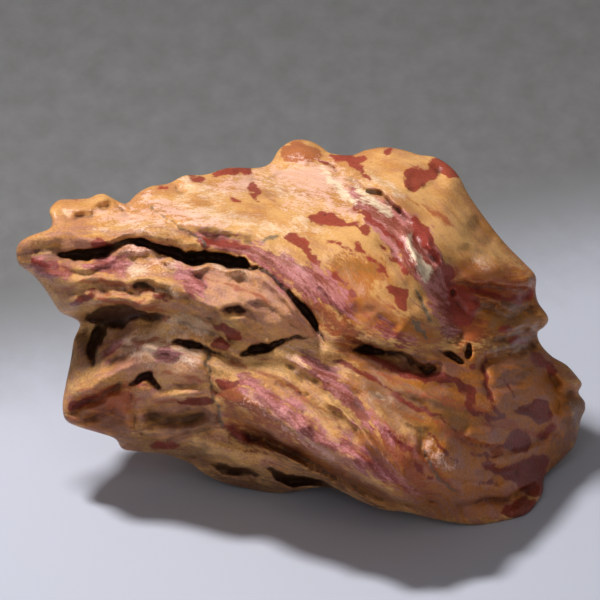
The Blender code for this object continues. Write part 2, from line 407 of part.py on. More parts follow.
     [(4.4, -0.2), (5.6, -1.1), (6.8, -1.4), (9, -1.8), (11, -2.7), (13, -3.4), (14.4, -3)], 1.3, 1.8, 0.35, 0.7, 1.2, (0.2, 0.12)),
    (slot, "lower gash",
     [(5, -2.3, 0.06), (5.8, -2.1, 0.26), (6.6, -1.8, 0.38), (7.5, -1.8, 0.4), (8.4, -2, 0.28),
      (9.4, -2.4, 0.16), (10.4, -2.9, 0.16), (11.3, -3.4, 0.14), (12.1, -3.8, 0.2),
      (12.8, -4.1, 0.26), (13.6, -4.1, 0.1)], 3.2),
    (slot, "gash to its right",
     [(13.6, -1.9, 0.08), (14.4, -2.3, 0.24), (15.2, -2.8, 0.26), (16, -3.2, 0.2),
      (16.8, -3.6, 0.06)], 2.4),
    (slot, "slit above it",
     [(13.8, -1.1, 0.04), (15, -1.3, 0.14), (16.4, -1.6, 0.04)], 1.2),
    (slot, "hole at the corner",
     [(17.1, -1.1, 0.1), (17, -1.7, 0.3), (16.9, -2.3, 0.34), (16.6, -3, 0.1)], 3.0),
    (groove, "edge of the cheek",
     [(14.4, 0), (15.4, -0.8), (16.8, -1.2)], 0.4, 0.6),
    (ridge, "lower lip of the gash",
     [(5, -3.2), (7.2, -3), (9.6, -3.8), (12, -5), (14.6, -4.8), (17, -5.6)], 0.5, 0.5),
    (ledge, "crescent on the lobe",
     [(15.6, -10), (16.4, -10.7), (17.2, -11.1), (18.2, -11.4), (19.4, -11.3), (20.6, -10.9)], 0.9, 1.2, 0.3, 0.5, 0.8, (0.2, 0.2)),
    (ledge, "second crescent",
     [(14.6, -14.4), (15.8, -14.8), (17.4, -15), (19.2, -14.9)], 0.5, 0.9, 0.3, 0.3, 0.7, (0.2, 0.3)),
    (ridge, "bead between crescents",
     [(17, -12.8), (19, -13.4), (21.4, -13.2)], 0.7, 0.5),
    (ledge, "edge above the foot",
     [(15.2, -17.1), (16.6, -16.9), (18, -16.8), (19.4, -16.6), (21, -16.2), (22.4, -15.8),
      (23.8, -14.9)], 1.5, 1.4, 0.3, 0.6, 1.0, (0.15, 0.1)),
    (groove, "crack under that edge",
     [(16.6, -17.3), (18.2, -17.2), (19.8, -17), (21.4, -16.7)], 0.3, 0.8),
    (groove, "crack beside the foot",
     [(20.8, -19), (21.2, -17.8), (21.8, -17)], 0.3, 0.6),
    (groove, "crease under the flank",
     [(18.4, -5.2), (18.5, -3.6), (19.4, -2.7), (21.2, -2.3), (22.8, -1.9), (24.3, -1.3)], 0.45, 1.5, 1.4, (0.35, 0.05)),
    (ridge, "brow of that crease",
     [(17.4, -2), (19, -1.6), (20.8, -1.2), (22.8, -0.8)], 0.6, 0.6),
    (groove, "layer lines on the lobe",
     [(19.4, -3.8), (20.8, -3.4), (22.4, -3.4), (23.8, -3.8)], 0.3, 0.4),
    (groove, "third layer line",
     [(20, -4.8), (21.6, -4.5), (23.4, -4.8)], 0.25, 0.35),
    (groove, "layer lines below",
     [(18.8, -5.8), (20.8, -5.4), (23.2, -5.5)], 0.35, 0.5),
    (groove, "notch line",
     [(22.8, -11.2), (24.5, -11.2), (26.2, -10.6)], 0.4, 0.5),
    (groove, "lobe edge line",
     [(24.4, -3.6), (25.2, -4.8), (26, -5.8), (27, -6.4), (28.4, -6.4)], 0.45, 0.8, 1.5, (0.3, 0.05)),
    (groove, "seam before the lobe",
     [(24.6, -3.2), (25.1, -4.6), (25.4, -6.2), (25.2, -8.2), (24.6, -10.2), (24.3, -12)], 0.5, 0.5),
    (ridge, "roll on the lobe",
     [(26.6, -7), (27.4, -8), (27.2, -9.4)], 0.5, 0.5),
    (groove, "lobe side furrow",
     [(24, -7.2), (25.2, -8.4), (25.6, -10)], 0.5, 0.4),
    (groove, "valley between slope and flank",
     [(14.6, 7.8), (15.2, 6.2), (14.8, 4.4), (15, 2.4), (15.8, 0.6), (16.8, -1.4)], 1.1, 0.9, 1.8, (0.3, 0.1)),
    (ledge, "underside of the flank",
     [(14.4, 4.7), (15.6, 4.9), (17, 5), (18.4, 4.9), (20.2, 4.6), (22, 4.4), (23.8, 4.6)], 1.1, 1.4, 0.35, 0.4, 1.0, (0.3, 0.05)),
    (groove, "dark notch in the flank",
     [(20, 3.4), (21.2, 2.7), (22.4, 3), (23.6, 3.4)], 0.4, 0.6),
    (groove, "hollow over the crease",
     [(18.2, -0.8), (20, -1), (22, -0.4), (23.8, 0.2)], 0.6, 0.4),
    (groove, "gully on the flank",
     [(15.2, 3.4), (16.2, 2), (17.6, 1.2), (19, 1.6)], 0.5, 0.7),
    (ridge, "layer on the flank",
     [(15.8, 3.8), (18, 3.6), (20.5, 2.9), (22.8, 2.8)], 0.35, 0.5),
    (groove, "line under that layer",
     [(16.8, 3), (18.6, 2.7), (20.4, 2.2)], 0.3, 0.6),
    (groove, "line at the point",
     [(20.6, 1.5), (22.2, 1.8), (23.8, 2.7)], 0.35, 0.8),
    (groove, "dent beside the valley",
     [(17, 1), (18.6, 0.2), (20.4, 0.4)], 0.7, 0.4),
    (slot, "pit in the valley",
     [(14.8, 4.1, 0.1), (15.1, 3.7, 0.3), (15, 3.2, 0.1)], 1.0),
    (groove, "fold above the flank",
     [(13.8, 10.4), (14.8, 9.2), (16, 8), (17.4, 7.2), (19, 6.8)], 1.0, 0.35),
    (groove, "step on the outer edge",
     [(17.2, 11.4), (18.4, 10), (19.8, 8.6)], 0.6, 0.4),
    (ledge, "groove at the top right",
     [(5, 16.4), (6, 15.1), (7, 14.3), (8.2, 13.7), (9.4, 12.8), (10.6, 11.7), (12, 10.4)], 1.5, 1.3, 0.3, 0.8, 0.9, (0.15, 0.35)),
    (ridge, "bright lip beside it",
     [(6.4, 15.8), (7.4, 15), (8.6, 14.2), (9.8, 13.3)], 0.45, 0.7, 1.8),
    (ridge, "thread in the groove",
     [(5.6, 14.4), (6.6, 13.6), (8, 12.9)], 0.25, 0.4),
    (ridge, "cream crest",
     [(10.2, 10.8), (10.8, 9.4), (11.1, 8), (11.8, 6.8), (12.8, 5.6)], 0.35, 0.8, 1.4),
    (groove, "trough beside the cream crest",
     [(11, 10.6), (11.7, 9.2), (12.3, 7.8), (13.6, 6)], 0.5, 0.7, 1.6),
    (ridge, "second crest",
     [(12.2, 9.6), (13, 8.3), (13.9, 7.3), (14.6, 6)], 0.32, 0.8, 1.4),
    (groove, "furrow left of the cream crest",
     [(7.6, 9.2), (8.8, 7.8), (9.8, 6.4), (10.4, 5)], 0.45, 0.6),
    (groove, "furrow on the upper slope",
     [(3, 17.2), (3.8, 15), (4.8, 13), (6.2, 11.4)], 0.6, 0.6),
    (ridge, "swell on the upper slope",
     [(1.8, 15.4), (2.6, 13.4), (4, 11.8)], 0.8, 0.4),
    (groove, "grey dash",
     [(11.6, 4), (12.1, 2.7), (13, 1.1)], 0.28, 0.7, 1.2),
    (groove, "dimple on the cheek",
     [(7.2, 1.4), (8.6, 0.8), (10.2, -0.2)], 0.7, 0.5),
    (ridge, "crest of the upper slope",
     [(-15.8, 13.1), (-14.8, 12.3), (-13.6, 11.7), (-12.2, 11.2), (-10.6, 10.8), (-8.7, 10.4),
      (-6, 10.1), (-3.5, 9.7), (-0.8, 8.9)], 0.7, 0.8, 1.8, (0.1, 0.3)),
    (groove, "hollow over that crest",
     [(-10.4, 12.8), (-8.6, 12.2), (-6.2, 11.9), (-3.8, 11.4)], 0.9, 0.55),
    (groove, "hollow under that crest",
     [(-12.4, 11.6), (-10.8, 10.2), (-8.6, 9.4), (-6, 9), (-3.2, 8.3)], 0.6, 0.5),
    (groove, "nick in the top edge",
     [(-12.8, 15.2), (-12.4, 14.3), (-11.3, 13.5)], 0.4, 0.6),
    (lump, "white knob", (-10.2, 14.4), (1.8, 0.9), 0.8, -20),
    (lump, "second white knob", (3, 15.4), (1.4, 1), 0.5, -40),
    (groove, "crack down to the gash",
     [(-15.7, 12.4), (-14.4, 11.4), (-13, 10.6), (-11.6, 9.9), (-10, 8.6)], 0.22, 0.8, 1.2, (0.1, 0.05)),
    (groove, "line along the plum band",
     [(-9.4, 8), (-7, 7.8), (-4.8, 7.4), (-2.4, 6.2), (-0.2, 4.4)], 0.35, 0.5, 1.5),
    (ridge, "rim of the plum band",
     [(-0.4, 6), (1.6, 4.8), (3.4, 3), (5, 1), (6.6, -0.6)], 0.35, 0.5),
    (lump, "spike on the lower lip", (-17, 8), (0.4, 0.3), 0.7, 0),
    (lump, "second spike", (-13.4, 6.8), (0.4, 0.3), 0.6, 0),
    (lump, "third spike", (-9.4, 6.4), (0.5, 0.3), 0.6, 0),
    (lump, "fourth spike", (-6.4, 6.2), (0.5, 0.3), 0.6, 0),
    (lump, "swell under the lid", (-15, 3), (2.2, 0.7), 0.6, -8),
    (lump, "boss on the right of the block", (-1.6, 1.2), (1.4, 1.6), 0.8, -40),
    (lump, "boss on the lower block", (-11.8, -2), (1.8, 0.9), 0.7, -10),
    (lump, "boss above the sill", (-12, -6.8), (2.2, 0.8), 0.7, 0),
    (ridge, "spur to the lower block",
     [(-20.2, -4.2), (-19.2, -2.8), (-18.2, -1.6), (-17.2, -0.6), (-16, 0)], 0.5, 0.7),
    (groove, "line over the upright column",
     [(-15.4, -6.6), (-15.9, -7.8), (-15.7, -9)], 0.25, 0.5),
]

BACK_FORMS = [
    (lump, "left boss", (-17, 3), (4.6, 3), 1.6, 10),
    (lump, "middle boss", (-3, 8), (6, 3.4), 1.8, -25),
    (lump, "lower boss", (0, -8), (6.6, 3.2), 1.6, -15),
    (lump, "right boss", (17, 0), (4.4, 5), 1.8, 20),
    (lump, "upper hollow", (9, 11), (3.4, 2), -1.6, -30),
    (lump, "dished hollow", (-9.5, -1.5), (3.4, 1.8), -2.6, -20),
    (lump, "right dish", (12, -6.5), (2.6, 1.6), -1.8, -30),
    (slot, "long gash across the back",
     [(-20.8, 6.8, 0.1), (-18, 7.2, 0.3), (-15, 6.8, 0.6), (-12, 5.8, 0.8), (-8.5, 4.6, 0.7),
      (-5, 3.4, 0.4), (-1.5, 2.4, 0.3), (2, 0.8, 0.5), (5, -1, 0.6), (8.5, -2.2, 0.4),
      (12, -3, 0.1)], 3.2),
    (slot, "short gash",
     [(3, 13.4, 0.1), (5.2, 12.4, 0.4), (7.8, 10.8, 0.6), (10.2, 9, 0.4), (12.4, 6.8, 0.1)], 2.4),
    (slot, "low gash",
     [(-11, -7.8, 0.1), (-8, -8.8, 0.4), (-5, -9.8, 0.5), (-2.4, -10.6, 0.3), (-0.4, -11.2, 0.1)], 2.2),
    (slot, "side gash",
     [(15.2, 8, 0.1), (17.4, 6.2, 0.35), (19.4, 3.8, 0.4), (20.8, 1.2, 0.1)], 2.0),
    (slot, "pit in the left boss",
     [(-18.2, 1.2, 0.1), (-17, 0.8, 0.5), (-15.8, 0.4, 0.1)], 2.0),
    (slot, "pit in the right boss",
     [(17.6, -4.2, 0.1), (18.4, -5.2, 0.5), (19, -6.4, 0.1)], 2.0),
    (ledge, "shelf on the back",
     [(-19, -4.2), (-15, -3.6), (-10.4, -4.2), (-6, -5.8), (-1, -6.2), (4, -5.4), (8, -4.2)], 1.6, 2.2, 0.5, 0.9, 1.6),
    (ledge, "upper shelf",
     [(-13, 9.4), (-9, 10.2), (-4.4, 10.4), (0, 9), (3.6, 6.8)], 1.3, 1.8, 0.5, 0.7, 1.3),
    (ledge, "right shelf",
     [(10, 3), (13.6, 2.4), (17, 3), (21, 4.2), (23.6, 4.4)], 1.3, 1.8, 0.45, 0.7, 1.3),
    (ridge, "rib over the long gash",
     [(-19, 8.4), (-15, 8.2), (-11, 7.2), (-7, 5.8), (-3, 4.6), (1, 2.8)], 0.8, 1.0),
    (ridge, "rib beside the dish",
     [(-7, 0), (-3.8, -1.6), (0, -2.4), (4, -3)], 0.9, 1.1),
    (ridge, "low rib",
     [(-5, -8), (0, -9), (5, -10), (10, -9.4), (14, -8)], 0.9, 1.1),
    (ridge, "right rib",
     [(14, 0), (17, -1), (20, -2), (23, -1.6)], 0.7, 0.9),
    (groove, "furrow down the back",
     [(0, 15.4), (0.6, 13), (2.2, 10.4), (4.4, 8)], 0.8, 1.1),
    (groove, "long furrow",
     [(-23, 3), (-19, 4), (-14, 3), (-10, 1.8), (-6, 0.8)], 0.7, 0.9),
    (groove, "furrow on the lower boss",
     [(-7, -6.2), (-3, -7), (1, -7.2), (5, -6.8)], 0.6, 0.8),
    (groove, "furrow on the right boss",
     [(13, 5.2), (16, 4.6), (19, 3), (21.6, 0)], 0.6, 0.9),
    (groove, "crease to the base",
     [(7.2, -6.2), (8.8, -8.2), (10.2, -10), (11.2, -11.4)], 0.6, 0.8),
    (groove, "crack over the middle boss",
     [(-6, 11.4), (-3.8, 9.4), (-2.4, 6.8), (-1.8, 4)], 0.3, 0.7),
    (groove, "left crease",
     [(-19, 0), (-17.6, -2), (-17.2, -5), (-16, -7.4)], 0.6, 0.9),
    (groove, "notch behind the tip",
     [(-23.8, 8), (-21.8, 7.8), (-19.6, 8.4)], 0.6, 0.9),
]


def sheet_through(soundings, softness):
    """A thin-plate surface through (u, v, height) soundings, as a function of places."""
    known = np.array(soundings, float)
    middles = known[:, :2]

    def pull(places):
        gap = np.hypot(*(places[:, None] - middles[None]).transpose(2, 0, 1))
        return gap**2 * np.log(gap + 1e-9)

    count = len(known)
    plane = np.c_[np.ones(count), middles]
    bent = pull(middles) + softness * np.eye(count)
    system = np.block([[bent, plane], [plane.T, np.zeros((3, 3))]])
    weights = np.linalg.solve(system, np.r_[known[:, 2], np.zeros(3)])

    def height(places):
        total = weights[count] + places @ weights[count + 1 :]
        for middle, weight in zip(middles, weights[:count]):
            gap = np.hypot(*(places - middle).T)
            total = total + weight * gap**2 * np.log(gap + 1e-9)
        return total

    return height


def waves(places, size, seed, count=22):
    """Smooth irregular swells of about this size, the same on every run."""
    random = np.random.default_rng(seed)
    headings = random.normal(size=(count, places.shape[1]))
    headings /= np.linalg.norm(headings, axis=1)[:, None]
    headings *= random.uniform(0.6, 1.4, (count, 1)) * 2 * np.pi / size
    starts = random.uniform(0, 2 * np.pi, count)
    total = np.zeros(len(places))
    for heading, start in zip(headings, starts):
        total += np.sin(places @ heading + start)
    return total * math.sqrt(2 / count)


def relief_of(places, bands, forms, seed):
    """The forms, and under them a weak grain that runs with the bands."""
    along = places[:, 0] * 0.8 - places[:, 1] * 0.6
    grain = np.c_[bands, along * 0.16]
    roughness = 0.35 + 0.65 * ease((2 - bands) / 4)
    relief = roughness * 0.07 * waves(grain, 2.2, seed)
    relief += roughness * 0.06 * np.abs(waves(grain, 1.2, seed + 1))
    relief += 0.10 * waves(places, 7.0, seed + 2) + 0.05 * waves(places, 3.2, seed + 3)
    bent = places.copy()
    for size, shift in ((5.0, 0.10), (2.3, 0.09)):
        bent += shift * np.c_[waves(places, size, 1), waves(places, size, 2)]
    for kind, _, points, *sizes in forms:
        kind(bent, relief, points, *sizes)
    return relief


def rim_height(places, rim):
    """The edge's w carried inwards, as a mean of the edge points that nearer ones lead."""
    total, weight = np.zeros((2, len(places)))
    for u, v, w in rim[:-1:3]:
        pull = 1 / (((places - (u, v)) ** 2).sum(1) + 0.3) ** 2
        total += pull * w
        weight += pull
    return total / weight


def skin(places, rim, soundings, rounding, forms, seed, bands):
    """w at each place on one side of the stone: the sheet, rounded down to the rim, with its forms."""
    edge = nearest(places, rim)[0]
    low = rim_height(places, rim)
    high = sheet_through(soundings, 0.02)(places)
    radius = np.clip(np.abs(high - low) * 0.8, *rounding)
    rounded = np.sqrt(np.clip(1 - (1 - np.clip(edge / radius, 0, 1)) ** 2, 0, 1))
    return low + (high - low) * rounded, relief_of(places, bands, forms, seed) * ease(edge / RIM_QUIET)


def to_world(u, v, w):
    x = u - BOX_MIDDLE[0]
    y = v * math.sin(FACE_TILT) - w * math.cos(FACE_TILT) - BOX_MIDDLE[1]
    z = v * math.cos(FACE_TILT) + w * math.sin(FACE_TILT) + FACE_HEIGHT
    return np.c_[x, y, z] * MM


def shaped(sphere):
    """Each point of a unit sphere, moved to the stone's skin. The sphere's +Z side becomes the face."""
    rim = smooth_line(OUTLINE, 6, closed=True)
    angles = np.arctan2(rim[:-1, 1], rim[:-1, 0])
    order = np.argsort(angles)
    reach = np.hypot(*rim[:-1, :2].T)[order]
    point_angles = np.arctan2(sphere[:, 1], sphere[:, 0])
    radius = np.interp(point_angles, angles[order], reach, period=2 * np.pi)
    share = np.hypot(*sphere[:, :2].T)
    places = np.c_[np.cos(point_angles), np.sin(point_angles)] * (share * radius)[:, None]
    bands = sheet_through([(*p, s) for s, line in BAND_LINES for p in line], 0.5)(places)
    edge_points = [(u, v, w + 1.2) for u, v, w in OUTLINE]
    back_edge_points = [(u, v, w - 1.5) for u, v, w in OUTLINE]
    w = np.empty(len(sphere))
    front = sphere[:, 2] >= 0
    for side, soundings, rounding, forms, seed, outward in (
        (front, FRONT_SOUNDINGS + edge_points, RIM_ROUND_FRONT, FRONT_FORMS, 11, 1),
        (~front, BACK_SOUNDINGS + back_edge_points, RIM_ROUND_BACK, BACK_FORMS, 31, -1),
    ):
        height, relief = skin(places[side], rim, soundings, rounding, forms, seed, bands[side])
        w[side] = height + outward * relief
    return to_world(places[:, 0], places[:, 1], w)


def build_stone(collection):
    rounded = bmesh.new()
    bmesh.ops.create_icosphere(rounded, subdivisions=SPHERE_SUBDIVISIONS, radius=1)
    mesh = bpy.data.meshes.new("agate")
    rounded.to_mesh(mesh)
    rounded.free()
    points = np.empty(len(mesh.vertices) * 3, np.float32)
    mesh.vertices.foreach_get("co", points)
    points = shaped(points.reshape(-1, 3).astype(float))
    mesh.vertices.foreach_set("co", points.astype(np.float32).ravel())
    mesh.update()
    stone = bpy.data.objects.new("agate", mesh)
    collection.objects.link(stone)
    even = stone.modifiers.new("even skin", "REMESH")
    even.mode = "VOXEL"
    even.voxel_size = VOXEL * MM
    polish = stone.modifiers.new("polish", "SMOOTH")
    polish.factor = 0.5
    polish.iterations = 1
    facets = stone.modifiers.new("facets", "DECIMATE")
    facets.ratio = KEPT_SHARE
    return stone


def cut_foot(stone, helpers):
    """Cuts the stone off flat at Z = 0, where it rests."""
    bpy.ops.mesh.primitive_cube_add(size=1)
    ground = bpy.context.object
    ground.name = "ground cutter"
    ground.scale = (0.1, 0.1, GROUND_DEPTH * MM)
    ground.location = (0, 0, -GROUND_DEPTH * MM / 2)
    for collection in ground.users_collection:
        collection.objects.unlink(ground)
    helpers.objects.link(ground)
    ground.hide_render = True
    ground.display_type = "WIRE"
    foot = stone.modifiers.new("flat foot", "BOOLEAN")
    foot.operation = "DIFFERENCE"
    foot.object = ground


def agate_material():
    material = bpy.data.materials.new("banded agate")
    material.use_nodes = True
    surface = material.node_tree.nodes["Principled BSDF"]
    surface.inputs["Base Color"].default_value = BASE_COLOUR
    surface.inputs["Roughness"].default_value = POLISH
    surface.inputs["Metallic"].default_value = 0
    material.diffuse_color = BASE_COLOUR
    return material


def new_collection(name):
    collection = bpy.data.collections.new(name)
    bpy.context.scene.collection.children.link(collection)
    return collection


def main():
    for old in list(bpy.data.objects):
        bpy.data.objects.remove(old)
    stone = build_stone(new_collection("banded agate"))
    cut_foot(stone, new_collection("cutters"))
    stone.data.materials.append(agate_material())


main()
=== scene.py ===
# %% [markdown]
# # A wind-polished agate
#
# This lesson dresses one natural stone: an agate about as long as a thumb, worn smooth by wind and
# sand, mottled in ochre, brick red and plum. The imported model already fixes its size, its outline
# and the flat foot it rests on. What is left is what the eye goes to: the rolled folds, the thin
# gashes, and the colour that follows old bands through the stone.

# %% Load the frame
import math
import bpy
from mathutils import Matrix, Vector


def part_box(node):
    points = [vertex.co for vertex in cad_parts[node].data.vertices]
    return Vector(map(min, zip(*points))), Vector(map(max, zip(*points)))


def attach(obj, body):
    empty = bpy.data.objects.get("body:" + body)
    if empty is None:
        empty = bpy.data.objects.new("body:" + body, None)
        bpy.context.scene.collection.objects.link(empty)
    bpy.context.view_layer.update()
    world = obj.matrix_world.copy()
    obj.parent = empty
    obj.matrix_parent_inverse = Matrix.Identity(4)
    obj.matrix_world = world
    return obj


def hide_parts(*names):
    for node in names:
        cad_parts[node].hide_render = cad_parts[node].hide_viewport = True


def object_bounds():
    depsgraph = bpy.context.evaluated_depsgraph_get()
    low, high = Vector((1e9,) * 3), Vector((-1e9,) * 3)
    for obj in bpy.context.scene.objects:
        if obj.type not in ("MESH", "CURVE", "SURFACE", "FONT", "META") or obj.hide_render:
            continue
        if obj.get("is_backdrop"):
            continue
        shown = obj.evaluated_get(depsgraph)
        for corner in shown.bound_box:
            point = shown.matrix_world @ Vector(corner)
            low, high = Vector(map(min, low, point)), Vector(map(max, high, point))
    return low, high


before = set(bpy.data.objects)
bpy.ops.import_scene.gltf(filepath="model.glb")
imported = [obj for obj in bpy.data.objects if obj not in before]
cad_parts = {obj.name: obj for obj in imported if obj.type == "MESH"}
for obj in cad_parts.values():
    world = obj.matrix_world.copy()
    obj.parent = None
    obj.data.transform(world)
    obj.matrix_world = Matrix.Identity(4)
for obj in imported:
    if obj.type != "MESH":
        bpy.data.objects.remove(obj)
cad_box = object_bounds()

from types import SimpleNamespace

import bmesh
import bpy
import numpy as np
from mathutils import Vector, noise

print("nodes in the frame:", sorted(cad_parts))

# %% [markdown]
# ## The stone's own axes
#
# The worn face leans back from upright, so it is awkward to describe in X, Y and Z. Instead every
# form on it gets a place in the face's own axes, in millimetres: u to the right, v up the face, and
# w straight out of it. One small function turns these into the frame's axes, and its inverse
# brings a finished vertex back, which the colouring needs later.

# %% Sizes and the two axis systems
MM = 0.001
FACE_TILT = math.radians(25)
FACE_HEIGHT = 18.3
BOX_MIDDLE = (0.18, 3.01)
LEAN_OVER = math.cos(FACE_TILT)
LEAN_UP = math.sin(FACE_TILT)


def to_world(u, v, w):
    x = u - BOX_MIDDLE[0]
    y = v * LEAN_UP - w * LEAN_OVER - BOX_MIDDLE[1]
    z = v * LEAN_OVER + w * LEAN_UP + FACE_HEIGHT
    return np.c_[x, y, z] * MM


def to_face(points):
    x, y, z = (points / MM).T
    y = y + BOX_MIDDLE[1]
    z = z - FACE_HEIGHT
    return np.c_[x + BOX_MIDDLE[0], y * LEAN_UP + z * LEAN_OVER, z * LEAN_UP - y * LEAN_OVER]


low_corner, high_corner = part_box("agate")
print("the stone measures, in mm:", [round(side / MM, 1) for side in high_corner - low_corner])

# %% [markdown]
# ## The edge and the smooth swell of the face
#
# A stone has no straight line to start from. Its silhouette is drawn as a closed line of given
# points, each with how far the edge stands out there. The face between is a thin-plate sheet: the
# surface that a thin steel plate would take if it were pressed through a few soundings. It is the
# calmest surface through them, and so it looks worn and not modelled.

# %% The edge, the soundings and the run of the bands
# The stone's edge as seen square to its face: u, v and how far the edge stands out in w.
OUTLINE = [
    (-28.4, 7.8, -1), (-28, 8.8, -0.5), (-26.8, 9.5, 0), (-25.1, 10.1, 0), (-24.8, 10.9, -1),
    (-25.1, 12, -2), (-24.2, 13, -3.5), (-22.8, 13.1, -4), (-21.2, 13.2, -4), (-20.3, 13.6, -4),
    (-19.3, 13.6, -4), (-18.5, 13, -4.3), (-17.8, 12.6, -5), (-17.2, 12.8, -5.2), (-16.3, 13.7, -6),
    (-15, 14.4, -6.5), (-13.2, 14.7, -7), (-11.6, 15.5, -8.5), (-9.5, 15.6, -9.5), (-7.2, 16.3, -11),
    (-4.4, 16.3, -13.5), (-3, 16.8, -15.5), (-2.1, 18.2, -17), (-0.7, 19.1, -17.5), (0.8, 19.1, -17.5),
    (2.1, 18.5, -17.1), (3.1, 17.8, -15.9), (5.2, 17.6, -14.8), (6.6, 18.1, -14.3), (8.5, 18.4, -13.6),
    (10.4, 18.1, -12.6), (12, 17.6, -11.6), (13.5, 17.4, -11.3), (14.9, 16.6, -10.5), (16, 15.4, -9.8),
    (17, 13.5, -9.4), (19, 10.7, -9.6), (20.8, 8.5, -10.4), (22.6, 6.7, -11), (23.7, 5.4, -10.5),
    (23.7, 3.9, -11), (24, 2.7, -11.5), (24.8, 1.6, -11.5), (25, 0.9, -12), (24.5, 0.2, -12.5),
    (23.9, -0.2, -13), (24.2, -1.4, -13), (25.4, -2.7, -13), (26.8, -3.5, -13.5), (27.9, -4.7, -13.5),
    (28.4, -5.5, -13.5), (28, -6.3, -13.5), (28.6, -7.1, -14), (28.8, -7.8, -14), (28.3, -9, -14),
    (28, -10.4, -13.5), (27.5, -11.8, -13), (26, -13.4, -12), (24.6, -14.7, -10), (24.4, -16.2, -7),
    (23.6, -17.5, -5), (22.6, -18.5, -3.5), (20.5, -19.1, -2.5), (18, -19.5, -1.5), (15.5, -19.3, -0.5),
    (13, -18.8, 0), (10.5, -18.2, 0.5), (8.5, -18, 0.5), (6.2, -17.2, 0), (4, -16.1, -1), (2, -15.8, -5),
    (0, -16.1, -7), (-2.2, -16.4, -8), (-5, -16, -8.5), (-7.5, -15.4, -8.5), (-9.5, -14.5, -8),
    (-11.2, -13.3, -7), (-13.5, -12.5, -5), (-16, -12.2, -4), (-17.8, -11.9, -4), (-18.5, -10.9, -3.5),
    (-20.2, -10.3, -3), (-22.2, -9.7, -3.3), (-23.5, -9, -3.6), (-23.8, -7.5, -4), (-23.5, -5.5, -4.9),
    (-23, -3, -6.4), (-22.7, -1, -7.3), (-22.1, 0.5, -7.5), (-22.8, 1.2, -2.3), (-24, 1.8, -1),
    (-25, 3.3, -1), (-26, 4.7, -1.4), (-27.2, 5.9, -1.5), (-28.1, 6.5, -1)
]

